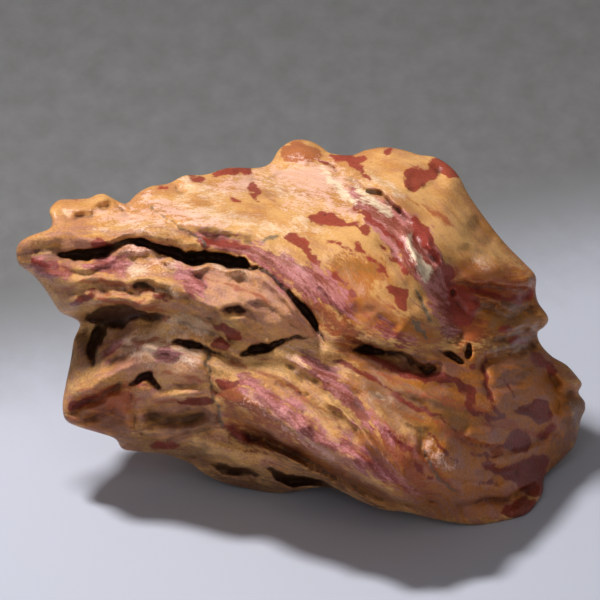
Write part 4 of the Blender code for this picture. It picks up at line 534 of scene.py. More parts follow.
# %% The right flank
FLANK = [
    (groove, "valley between slope and flank", [(14.6, 7.8), (15.2, 6.2), (14.8, 4.4), (15, 2.4),
     (16.8, -1.4)], 1.1, 0.9, 1.8, (0.3, 0.1)),
    (ledge, "underside of the flank", [(14.4, 4.7), (17, 5), (22, 4.4),
     (23.8, 4.6)], 1.1, 1.4, 0.35, 0.4, 1, (0.3, 0.05)),
    (groove, "dark notch in the flank", [(20, 3.4), (21.2, 2.7), (23.6, 3.4)], 0.4, 0.6),
    (groove, "hollow over the crease", [(18.2, -0.8), (20, -1), (23.8, 0.2)], 0.6, 0.4),
    (groove, "gully on the flank", [(15.2, 3.4), (16.2, 2), (17.6, 1.2), (19, 1.6)], 0.5, 0.7),
    (ridge, "layer on the flank", [(15.8, 3.8), (18, 3.6), (20.5, 2.9), (22.8, 2.8)], 0.35, 0.5),
    (groove, "line under that layer", [(16.8, 3), (18.6, 2.7), (20.4, 2.2)], 0.3, 0.6),
    (groove, "line at the point", [(20.6, 1.5), (22.2, 1.8), (23.8, 2.7)], 0.35, 0.8),
    (groove, "dent beside the valley", [(17, 1), (18.6, 0.2), (20.4, 0.4)], 0.7, 0.4),
    (slot, "pit in the valley", [(14.8, 4.1, 0.1), (15.1, 3.7, 0.3), (15, 3.2, 0.1)], 1),
    (groove, "fold above the flank", [(13.8, 10.4), (16, 8), (17.4, 7.2), (19, 6.8)], 1, 0.35),
    (ridge, "wrinkle above the flank", [(15.2, 9.4), (17, 8.4), (18.8, 7.8), (20.6, 6.8)], 0.5, 0.35),
    (groove, "fine crease on the shoulder", [(14.6, 12.4), (17, 10.4), (18, 9.2)], 0.3, 0.3),
    (groove, "step on the outer edge", [(17.2, 11.4), (18.4, 10), (19.8, 8.6)], 0.6, 0.4),
    (groove, "small hook on the slope", [(11, 15.8), (11.2, 14.6), (11.6, 13.4)], 0.3, 0.35),
]

# %% The top right
TOP_RIGHT = [
    (ledge, "groove at the top right", [(5, 16.4), (6, 15.1), (7, 14.3), (8.2, 13.7), (9.4, 12.8),
     (12, 10.4)], 1.5, 1.3, 0.3, 0.8, 0.9, (0.15, 0.35)),
    (ridge, "bright lip beside it", [(6.4, 15.8), (7.4, 15), (9.8, 13.3)], 0.45, 0.7, 1.8),
    (ridge, "thread in the groove", [(5.6, 14.4), (6.6, 13.6), (8, 12.9)], 0.25, 0.4),
    (ridge, "cream crest", [(10.2, 10.8), (10.8, 9.4), (11.1, 8), (11.8, 6.8),
     (12.8, 5.6)], 0.35, 0.8, 1.4),
    (groove, "trough beside the cream crest", [(11, 10.6), (12.3, 7.8), (13.6, 6)], 0.5, 0.7, 1.6),
    (ridge, "second crest", [(12.2, 9.6), (13, 8.3), (13.9, 7.3), (14.6, 6)], 0.32, 0.8, 1.4),
    (groove, "furrow left of the cream crest", [(7.6, 9.2), (9.8, 6.4), (10.4, 5)], 0.45, 0.6),
    (groove, "furrow on the upper slope", [(3, 17.2), (3.8, 15), (4.8, 13), (6.2, 11.4)], 0.6, 0.6),
    (ridge, "swell on the upper slope", [(1.8, 15.4), (2.6, 13.4), (4, 11.8)], 0.8, 0.4),
    (groove, "grey dash", [(11.6, 4), (12.1, 2.7), (13, 1.1)], 0.28, 0.7, 1.2),
    (groove, "second grey dash", [(11, 1.2), (11.8, 0.3), (12.6, -0.6)], 0.3, 0.4),
    (groove, "dimple on the cheek", [(7.2, 1.4), (8.6, 0.8), (10.2, -0.2)], 0.7, 0.5),
]

# %% The upper slope
UPPER_SLOPE = [
    (ridge, "crest of the upper slope", [(-15.8, 13.1), (-14.8, 12.3), (-12.2, 11.2), (-8.7, 10.4),
     (-3.5, 9.7), (-0.8, 8.9)], 0.7, 0.8, 1.8, (0.1, 0.3)),
    (groove, "hollow over that crest", [(-10.4, 12.8), (-8.6, 12.2), (-6.2, 11.9),
     (-3.8, 11.4)], 0.9, 0.55),
    (groove, "hollow under the upper crest", [(-12.4, 11.6), (-10.8, 10.2), (-8.6, 9.4), (-6, 9),
     (-3.2, 8.3)], 0.6, 0.5),
    (groove, "nick in the top edge", [(-12.8, 15.2), (-12.4, 14.3), (-11.3, 13.5)], 0.4, 0.6),
    (lump, "white knob", (-10.2, 14.4), (1.8, 0.9), 0.8, -20),
    (lump, "second white knob", (3, 15.4), (1.4, 1), 0.5, -40),
    (groove, "crack down to the gash", [(-15.7, 12.4), (-14.4, 11.4), (-11.6, 9.9),
     (-10, 8.6)], 0.22, 0.8, 1.2, (0.1, 0.05)),
    (groove, "line along the plum band", [(-9.4, 8), (-4.8, 7.4), (-2.4, 6.2),
     (-0.2, 4.4)], 0.35, 0.5, 1.5),
    (groove, "dent on the upper slope", [(-5, 13.4), (-3.8, 12.6), (-2.4, 12.4)], 0.6, 0.3),
]

# %% Shelves, wrinkles and spikes
SHELVES = [
    (ledge, "shelf on the middle block", [(-23.8, 4.4), (-21.6, 5), (-19.6, 5),
     (-15.4, 3.8)], 0.5, 0.9, 0.25, 0.35, 0.6),
    (ledge, "second shelf there", [(-12.8, 4), (-11, 3.4), (-9, 2.4),
     (-7.2, 1.8)], 0.5, 0.9, 0.25, 0.35, 0.6),
    (ledge, "third shelf there", [(-5.6, 3), (-3.8, 2.8), (-2, 1.8),
     (-0.2, 0.2)], 0.4, 0.8, 0.25, 0.3, 0.6),
    (groove, "scar by the knuckle", [(-10.4, 5.6), (-9.6, 4.8), (-9.4, 3.8)], 0.3, 0.6),
    (groove, "wrinkle on the block", [(-3.8, 3), (-2.4, 2.2), (-1.2, 1), (-0.2, -0.4)], 0.25, 0.3),
    (groove, "wrinkle by the crack", [(-2, 3), (-0.8, 1.6), (0.2, 0)], 0.22, 0.25),
    (ridge, "rib on the left end", [(-26, 6), (-24.4, 5.4), (-23, 4.6), (-21.4, 4.6)], 0.4, 0.35),
    (groove, "line under the rib", [(-25.6, 5), (-24, 4.2), (-22.4, 4)], 0.3, 0.3),
    (ledge, "shelf on the lower block", [(-20, -2.2), (-18, -1.6), (-16, -1.4),
     (-11.4, -2.4)], 0.4, 0.8, 0.25, 0.35, 0.6),
    (ledge, "ripple on the front", [(-15.4, -7.4), (-13.4, -7.2), (-11.4, -7.2),
     (-9.4, -7)], 0.4, 0.6, 0.2, 0.3, 0.5),
    (groove, "layer in the hollow", [(-15.4, -9), (-13.4, -9.4), (-11.2, -9.2), (-9.4, -8.8)], 0.25, 0.4),
    (groove, "layer on the sill", [(-17.2, -11.4), (-15, -11.7), (-9.6, -11.6)], 0.25, 0.3),
    (groove, "line down the great fold", [(-6.8, -4.2), (-1.6, -6.8), (0.8, -8.4), (3, -10.4)], 0.25, 0.3),
    (groove, "line low on the great fold", [(-6.4, -7.4), (-3.8, -8.4), (-1, -10),
     (7.6, -15.4)], 0.25, 0.35),
    (groove, "scratch on the fold", [(3, -12.2), (7.2, -14.6), (9.2, -15.6)], 0.22, 0.3),
    (groove, "dip on the red line", [(8.4, -4.2), (10.4, -5.4), (12.4, -6.2)], 0.4, 0.3),
    (groove, "crease on the slope", [(10, -10.6), (11.2, -11.6), (12, -13)], 0.3, 0.35),
    (ledge, "ripple on the slope", [(9.2, -8.2), (11.2, -9.4), (13.2, -10)], 0.35, 0.7, 0.25, 0.3, 0.5),
    (groove, "layer by the lobe", [(20, -7), (22, -7.4), (24, -8.4), (25.6, -10)], 0.3, 0.35),
    (groove, "layer on the lobe's foot", [(20, -9.4), (22, -10), (24, -10.6)], 0.3, 0.35),
    (ridge, "bead on the lobe", [(25.6, -4.2), (26.6, -5.2), (27.6, -5.6)], 0.4, 0.4),
    (groove, "wrinkle of the plum band", [(-1.8, 6.8), (0, 5.6), (1.8, 4), (3.4, 2.2), (5, 0.6)], 0.3, 0.3),
    (ridge, "rim of the plum band", [(-0.4, 6), (1.6, 4.8), (3.4, 3), (5, 1), (6.6, -0.6)], 0.35, 0.5),
    (groove, "second wrinkle there", [(-3.8, 8), (-1.6, 7), (0.4, 6)], 0.25, 0.22),
    (groove, "dent beside the shield", [(10.4, 4.8), (11.2, 3.4), (11.6, 1.8)], 0.4, 0.3),
    (groove, "dent on the cheek", [(5.2, 2.4), (6.6, 1.8), (7.8, 1.8)], 0.5, 0.35),
    (ledge, "edge of the corner blot", [(10.4, 15.2), (11, 14), (12.2, 14.4),
     (13.4, 15.2)], 0.25, 0.6, 0.2, 0.25, 0.5),
    (lump, "spike on the lower lip", (-17, 8), (0.4, 0.3), 0.7, 0),
    (lump, "second spike", (-13.4, 6.8), (0.4, 0.3), 0.6, 0),
    (lump, "third spike", (-9.4, 6.4), (0.5, 0.3), 0.6, 0),
    (lump, "fourth spike", (-6.4, 6.2), (0.5, 0.3), 0.6, 0),
    (lump, "swell under the lid", (-15, 3), (2.2, 0.7), 0.6, -8),
    (lump, "boss on the right of the block", (-1.6, 1.2), (1.4, 1.6), 0.8, -40),
    (lump, "boss on the lower block", (-11.8, -2), (1.8, 0.9), 0.7, -10),
    (lump, "boss above the sill", (-12, -6.8), (2.2, 0.8), 0.7, 0),
    (ridge, "spur to the lower block", [(-20.2, -4.2), (-19.2, -2.8), (-17.2, -0.6), (-16, 0)], 0.5, 0.7),
    (groove, "line over the upright column", [(-15.4, -6.6), (-15.9, -7.8), (-15.7, -9)], 0.25, 0.5),
]

# %% Furrows of the flank and the lobe
FURROWS = [
    (groove, "crimson channel", [(15.3, 4.2), (15.1, 2.6), (15.4, 1), (17, -1.8)], 0.7, 0.35),
    (ridge, "shelf of the flank", [(17.4, 3.3), (19, 3), (20.6, 2.4), (22, 2.4)], 0.5, 0.8),
    (groove, "furrow under the shelf", [(17.4, 2.3), (19.2, 1.9), (20.8, 1.3), (22.4, 1.1)], 0.45, 0.75),
    (ridge, "rib to the point", [(19.8, 0.3), (21.6, 0.1), (23.2, 0.3), (24.4, 0.8)], 0.5, 0.8),
    (groove, "furrow over the crease", [(19, -0.9), (20.8, -0.9), (23.8, -0.2)], 0.4, 0.6),
    (groove, "red valley of the lobe", [(18.7, -2.6), (18.5, -4.2), (18.8, -6), (19.5, -7.6)], 0.5, 0.8),
    (ridge, "swell over the crescent", [(16.2, -9.9), (18, -10.4), (20, -10)], 0.8, 0.7),
    (groove, "upper furrow of the lobe", [(20.2, -12.2), (24, -11), (25.6, -10.6)], 0.5, 0.8),
    (ridge, "upper rib of the lobe", [(18.8, -13.4), (20.6, -12.8), (22.8, -12.3),
     (24.8, -11.6)], 0.6, 0.75),
    (groove, "lower furrow of the lobe", [(17, -14), (19, -14.4), (21.2, -14.2), (23, -13.4)], 0.5, 0.8),
    (ridge, "lower rib of the lobe", [(16, -15.3), (18.4, -15.7), (20.6, -15.4), (22.4, -14.7)], 0.6, 0.75),
    (ridge, "fold under the lower gash", [(8.4, -4.2), (13.4, -6.6), (15.8, -8)], 0.6, 0.75),
    (groove, "furrow under that fold", [(6.6, -5.2), (8.8, -7), (13.6, -10)], 0.5, 0.8),
    (groove, "furrow down the edge", [(24.8, -4.2), (25.6, -5.8), (26, -7.4), (26, -9)], 0.5, 0.8),
]

# %% All the forms on the face
FRONT_FORMS = BROAD_SWELLS + BROW + MIDDLE_BLOCK + LOWER_BLOCK + KEEL + FOLDS + LOWER_GASH
FRONT_FORMS += LOBE + FLANK + TOP_RIGHT + UPPER_SLOPE + SHELVES + FURROWS
print(len(FRONT_FORMS), "forms on the face")

# %% Forms on the back
BACK_FORMS = [
    (lump, "left boss", (-17, 3), (4.6, 3), 1.6, 10),
    (lump, "middle boss", (-3, 8), (6, 3.4), 1.8, -25),
    (lump, "lower boss", (0, -8), (6.6, 3.2), 1.6, -15),
    (lump, "right boss", (17, 0), (4.4, 5), 1.8, 20),
    (lump, "upper hollow", (9, 11), (3.4, 2), -1.6, -30),
    (lump, "dished hollow", (-9.5, -1.5), (3.4, 1.8), -2.6, -20),
    (lump, "right dish", (12, -6.5), (2.6, 1.6), -1.8, -30),
    (slot, "long gash across the back", [(-20.8, 6.8, 0.1), (-18, 7.2, 0.3), (-15, 6.8, 0.6),
     (-12, 5.8, 0.8), (-8.5, 4.6, 0.7), (-5, 3.4, 0.4), (-1.5, 2.4, 0.3), (2, 0.8, 0.5), (5, -1, 0.6),
     (8.5, -2.2, 0.4), (12, -3, 0.1)], 3.2),
    (slot, "short gash", [(3, 13.4, 0.1), (5.2, 12.4, 0.4), (7.8, 10.8, 0.6), (10.2, 9, 0.4),
     (12.4, 6.8, 0.1)], 2.4),
    (slot, "low gash", [(-11, -7.8, 0.1), (-8, -8.8, 0.4), (-5, -9.8, 0.5), (-2.4, -10.6, 0.3),
     (-0.4, -11.2, 0.1)], 2.2),
    (slot, "side gash", [(15.2, 8, 0.1), (17.4, 6.2, 0.35), (19.4, 3.8, 0.4), (20.8, 1.2, 0.1)], 2),
    (slot, "pit in the left boss", [(-18.2, 1.2, 0.1), (-17, 0.8, 0.5), (-15.8, 0.4, 0.1)], 2),
    (slot, "pit in the right boss", [(17.6, -4.2, 0.1), (18.4, -5.2, 0.5), (19, -6.4, 0.1)], 2),
    (ledge, "shelf on the back", [(-19, -4.2), (-15, -3.6), (-10.4, -4.2), (-6, -5.8), (-1, -6.2),
     (4, -5.4), (8, -4.2)], 1.6, 2.2, 0.5, 0.9, 1.6),
    (ledge, "upper shelf", [(-13, 9.4), (-9, 10.2), (-4.4, 10.4), (0, 9),
     (3.6, 6.8)], 1.3, 1.8, 0.5, 0.7, 1.3),
    (ledge, "right shelf", [(10, 3), (13.6, 2.4), (17, 3), (21, 4.2),
     (23.6, 4.4)], 1.3, 1.8, 0.45, 0.7, 1.3),
    (ridge, "rib over the long gash", [(-19, 8.4), (-15, 8.2), (-11, 7.2), (-7, 5.8), (-3, 4.6),
     (1, 2.8)], 0.8, 1),
    (ridge, "rib beside the dish", [(-7, 0), (-3.8, -1.6), (0, -2.4), (4, -3)], 0.9, 1.1),
    (ridge, "low rib", [(-5, -8), (0, -9), (5, -10), (10, -9.4), (14, -8)], 0.9, 1.1),
    (ridge, "right rib", [(14, 0), (17, -1), (20, -2), (23, -1.6)], 0.7, 0.9),
    (groove, "furrow down the back", [(0, 15.4), (0.6, 13), (2.2, 10.4), (4.4, 8)], 0.8, 1.1),
    (groove, "long furrow", [(-23, 3), (-19, 4), (-14, 3), (-10, 1.8), (-6, 0.8)], 0.7, 0.9),
    (groove, "furrow on the lower boss", [(-7, -6.2), (-3, -7), (1, -7.2), (5, -6.8)], 0.6, 0.8),
    (groove, "furrow on the right boss", [(13, 5.2), (16, 4.6), (19, 3), (21.6, 0)], 0.6, 0.9),
    (groove, "crease to the base", [(7.2, -6.2), (8.8, -8.2), (10.2, -10), (11.2, -11.4)], 0.6, 0.8),
    (groove, "crack over the middle boss", [(-6, 11.4), (-3.8, 9.4), (-2.4, 6.8), (-1.8, 4)], 0.3, 0.7),
    (groove, "left crease", [(-19, 0), (-17.6, -2), (-17.2, -5), (-16, -7.4)], 0.6, 0.9),
    (groove, "notch behind the tip", [(-23.8, 8), (-21.8, 7.8), (-19.6, 8.4)], 0.6, 0.9),
]
print(len(BACK_FORMS), "forms on the back")

# %% [markdown]
# ## From a ball to a stone
#
# The stone starts as a ball. Its equator is stretched to the drawn edge, its near half becomes the
# face and its far half the back, so the skin is closed from the start. Near the edge both halves
# turn down to meet each other, as a pebble's sides do.


# %% The sheet and the waves
SHEET_SOFTNESS = 0.02
BAND_SOFTNESS = 0.5


def sheet_through(soundings, softness):
    """A thin-plate surface through (u, v, height) soundings, as a function of places."""
    known = np.array(soundings, float)
    middles = known[:, :2]

    def pull(places):
        gap = np.hypot(*(places[:, None] - middles[None]).transpose(2, 0, 1))
        return gap**2 * np.log(gap + 1e-9)

    count = len(known)
    plane = np.c_[np.ones(count), middles]
    bent = pull(middles) + softness * np.eye(count)
    system = np.block([[bent, plane], [plane.T, np.zeros((3, 3))]])
    weights = np.linalg.solve(system, np.r_[known[:, 2], np.zeros(3)])

    def height(places):
        total = weights[count] + places @ weights[count + 1 :]
        for middle, weight in zip(middles, weights[:count]):
            gap = np.hypot(*(places - middle).T)
            total = total + weight * gap**2 * np.log(gap + 1e-9)
        return total

    return height


def waves(places, size, seed, count=22):
    """Smooth irregular swells of about this size, the same on every run."""
    random = np.random.default_rng(seed)
    headings = random.normal(size=(count, places.shape[1]))
    headings /= np.linalg.norm(headings, axis=1)[:, None]
    headings *= random.uniform(0.6, 1.4, (count, 1)) * 2 * np.pi / size
    starts = random.uniform(0, 2 * np.pi, count)
    total = np.zeros(len(places))
    for heading, start in zip(headings, starts):
        total += np.sin(places @ heading + start)
    return total * math.sqrt(2 / count)


BAND_SHEET = sheet_through([(*place, s) for s, line in BAND_LINES for place in line], BAND_SOFTNESS)
# The way the bands run over the face, as a share of u and of v.
BAND_RUN = (0.8, -0.6)


def along_bands(places):
    return places[:, 0] * BAND_RUN[0] + places[:, 1] * BAND_RUN[1]


def crags(vectors, size, octaves, seed):
    """Sharp-crested rock noise whose largest crests are this far apart, with a mean of 0."""
    noise.seed_set(seed)
    at = vectors / size
    if at.shape[1] == 2:
        at = np.c_[at, np.full(len(at), seed * 7.3)]
    heights = np.array([noise.ridged_multi_fractal(place, 0.9, 2.1, octaves, 1.0, 2.0) for place in at])
    return heights - heights.mean()


# %% [markdown]
# ## Relief, rim and skin
#
# Rock is rougher than any drawn line, so crags run under the forms and follow the bands. The
# drawn forms themselves are made a little crisper than drawn, because the even skin laid over them
# later softens them again. At the rim the skin rounds over, tightly in front and slowly behind.

# %% Relief, rim and skin
RIM_ROUND_FRONT = (0.8, 3.2)
RIM_ROUND_BACK = (1.2, 6.0)
RIM_QUIET = 0.9
CRISPNESS = 1.15
CRAG_HEIGHT = 0.30
GRIT_HEIGHT = 0.04
RIPPLE_HEIGHT = 0.06
SWELLS = ((7.0, 0.10), (3.2, 0.05))
WANDER = ((5.0, 0.10), (2.3, 0.09), (1.1, 0.04), (0.6, 0.02))


def wandering(places):
    """The places, shifted a little by waves, so that no drawn line stays smooth."""
    bent = places.copy()
    for size, shift in WANDER:
        bent += shift * np.c_[waves(places, size, 1), waves(places, size, 2)]
    return bent


def relief_of(places, bands, forms, seed):
    """The forms, and under them crags that run with the bands, rough below and worn above."""
    grain = np.c_[bands, along_bands(places) * 0.15]
    roughness = 0.22 + 0.78 * ease((3 - bands) / 5)
    relief = roughness * CRAG_HEIGHT * crags(grain, 2.3, 4, seed)
    relief += roughness * GRIT_HEIGHT * crags(places, 1.1, 3, seed + 1)
    relief += roughness * RIPPLE_HEIGHT * waves(grain, 2.2, seed)
    for number, (size, height) in enumerate(SWELLS):
        relief += height * waves(places, size, seed + 2 + number)
    bent = wandering(places)
    drawn = np.zeros(len(places))
    for kind, _, points, *sizes in forms:
        kind(bent, drawn, points, *sizes)
    return relief + CRISPNESS * drawn


def rim_height(places, rim):
    """The edge's w carried inwards, as a mean of the edge points that nearer ones lead."""
    total, weight = np.zeros((2, len(places)))
    for u, v, w in rim[:-1:3]:
        pull = 1 / (((places - (u, v)) ** 2).sum(1) + 0.3) ** 2
        total += pull * w
        weight += pull
    return total / weight


def skin(places, rim, soundings, rounding, forms, seed, bands):
    """w at each place on one side of the stone: the sheet, rounded down to the rim, with its forms."""
    edge = nearest(places, rim)[0]
    low = rim_height(places, rim)
    high = sheet_through(soundings, SHEET_SOFTNESS)(places)
    radius = np.clip(np.abs(high - low) * 0.8, *rounding)
    rounded = np.sqrt(np.clip(1 - (1 - np.clip(edge / radius, 0, 1)) ** 2, 0, 1))
    return low + (high - low) * rounded, relief_of(places, bands, forms, seed) * ease(edge / RIM_QUIET)


middle_height = sheet_through(FRONT_SOUNDINGS, SHEET_SOFTNESS)(np.zeros((1, 2)))[0]
print("the face stands out", round(float(middle_height), 1), "mm at its middle")


# %% Moving the ball's points to the stone's skin
EDGE_OUT_FRONT = 1.2
EDGE_OUT_BACK = -1.5


def shaped(sphere):
    """Each point of a unit sphere, moved to the stone's skin. The sphere's +Z side becomes the face."""
    angles = np.arctan2(rim_line[:-1, 1], rim_line[:-1, 0])
    order = np.argsort(angles)
    reach = np.hypot(*rim_line[:-1, :2].T)[order]
    point_angles = np.arctan2(sphere[:, 1], sphere[:, 0])
    radius = np.interp(point_angles, angles[order], reach, period=2 * np.pi)
    share = np.hypot(*sphere[:, :2].T)
    places = np.c_[np.cos(point_angles), np.sin(point_angles)] * (share * radius)[:, None]
    bands = BAND_SHEET(places)
    edge_points = [(u, v, w + EDGE_OUT_FRONT) for u, v, w in OUTLINE]
    back_edge_points = [(u, v, w + EDGE_OUT_BACK) for u, v, w in OUTLINE]
    w = np.empty(len(sphere))
    front = sphere[:, 2] >= 0
    for side, soundings, rounding, forms, seed, outward in (
        (front, FRONT_SOUNDINGS + edge_points, RIM_ROUND_FRONT, FRONT_FORMS, 11, 1),
        (~front, BACK_SOUNDINGS + back_edge_points, RIM_ROUND_BACK, BACK_FORMS, 31, -1),
    ):
        height, relief = skin(places[side], rim_line, soundings, rounding, forms, seed, bands[side])
        w[side] = height + outward * relief
    return to_world(places[:, 0], places[:, 1], w)


# %% [markdown]
# ## An even skin
#
# Stretching a ball leaves long thin triangles on the steep walls. A voxel remesh lays an even skin
# of small squares over the same shape, a light smooth takes off the stair-steps, and a decimate
# keeps the piece under its share of triangles. The foot is then cut off flat where the stone rests,
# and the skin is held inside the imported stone's box.

# %% Building the mesh
SPHERE_SUBDIVISIONS = 8
VOXEL = 0.18
MOST_TRIANGLES = 196000


def points_of(mesh):
    points = np.empty(len(mesh.vertices) * 3, np.float32)
    mesh.vertices.foreach_get("co", points)
    return points.reshape(-1, 3).astype(float)


def set_points(mesh, points):
    mesh.vertices.foreach_set("co", points.astype(np.float32).ravel())
    mesh.update()


def applied(thing):
    """Replaces the object's mesh with what its modifiers make of it."""
    graph = bpy.context.evaluated_depsgraph_get()
    mesh = bpy.data.meshes.new_from_object(thing.evaluated_get(graph))
    thing.modifiers.clear()
    thing.data = mesh
    return mesh


def triangle_count(mesh):
    mesh.calc_loop_triangles()
    return len(mesh.loop_triangles)


def build_stone():
    ball = bmesh.new()
    bmesh.ops.create_icosphere(ball, subdivisions=SPHERE_SUBDIVISIONS, radius=1)
    mesh = bpy.data.meshes.new("polished_agate")
    ball.to_mesh(mesh)
    ball.free()
    set_points(mesh, shaped(points_of(mesh)))
    stone = bpy.data.objects.new("polished_agate", mesh)
    bpy.context.scene.collection.objects.link(stone)
    even = stone.modifiers.new("even skin", "REMESH")
    even.mode = "VOXEL"
    even.voxel_size = VOXEL * MM
    polish = stone.modifiers.new("polish", "SMOOTH")
    polish.factor = 0.5
    polish.iterations = 1
    print("even skin:", triangle_count(applied(stone)), "triangles")
    thinner = stone.modifiers.new("thinner", "DECIMATE")
    thinner.ratio = MOST_TRIANGLES / triangle_count(stone.data)
    print("thinned to:", triangle_count(applied(stone)), "triangles")
    return stone


stone = build_stone()


# %% The flat foot
def cut_foot(mesh):
    """Cuts away what lies under Z = 0 and closes the cut with one flat face."""
    cut = bmesh.new()
    cut.from_mesh(mesh)
    everything = cut.verts[:] + cut.edges[:] + cut.faces[:]
    bmesh.ops.bisect_plane(cut, geom=everything, plane_co=(0, 0, 0), plane_no=(0, 0, 1), clear_inner=True)
    rims = [edge for edge in cut.edges if edge.is_boundary]
    made = bmesh.ops.contextual_create(cut, geom=rims)["faces"]
    bmesh.ops.triangulate(cut, faces=made)
    bmesh.ops.recalc_face_normals(cut, faces=cut.faces)
    cut.to_mesh(mesh)
    cut.free()
    mesh.update()


cut_foot(stone.data)
set_points(stone.data, np.clip(points_of(stone.data), low_corner, high_corner))
stone.data.shade_smooth()
foot_faces = [face for face in stone.data.polygons if face.normal.z < -0.999 and face.center.z < 1e-5]
for face in foot_faces:
    face.use_smooth = False
print("foot area:", round(sum(face.area for face in foot_faces) / MM**2), "mm2")
print("the dressed stone has", triangle_count(stone.data), "triangles")

# %% [markdown]
# ## Where the colour lies
#
# The colour of such a stone isn't painted on. Iron oxides soaked along its bands, so patches have
# clear shores and streaks follow the flow. The dark marks in the hollows and under the ledges are
# painted shade. Each patch is a closed drawn line, and what the mesh stores is the distance to that
# line, more than 0 inside it. A distance stays smooth between vertices, so the shader can draw a
# shore that is much sharper than the mesh, and can fray it with noise.


# %% Patches, streaks and spots
FAR = 3.0


def within(places, loop):
    """Whether each place is inside the closed line, by counting crossings to its right."""
    inside = np.zeros(len(places), bool)
    u, v = places.T
    for (u0, v0), (u1, v1) in zip(loop[:-1], loop[1:]):
        if v0 == v1:
            continue
        crosses = (v0 > v) != (v1 > v)
        inside ^= crosses & (u < u0 + (v - v0) * (u1 - u0) / (v1 - v0))
    return inside


def patch(places, points):
    loop = smooth_line(points, 4, closed=True)
    near = around(places, loop, FAR)
    distance = nearest(places[near], loop)[0]
    field = np.full(len(places), -FAR)
    field[near] = np.where(within(places[near], loop), distance, -distance)
    return field


def streak(places, points):
    line = smooth_line(points, 4)
    near = around(places, line, FAR)
    distance, _, _, width = nearest(places[near], line)
    field = np.full(len(places), -FAR)
    field[near] = width - distance
    return field


def spot(places, middle, radii, degrees):
    turn = math.radians(degrees)
    u, v = (places - middle).T
    along = (u * math.cos(turn) + v * math.sin(turn)) / radii[0]
    across = (v * math.cos(turn) - u * math.sin(turn)) / radii[1]
    return (1 - np.hypot(along, across)) * min(radii)
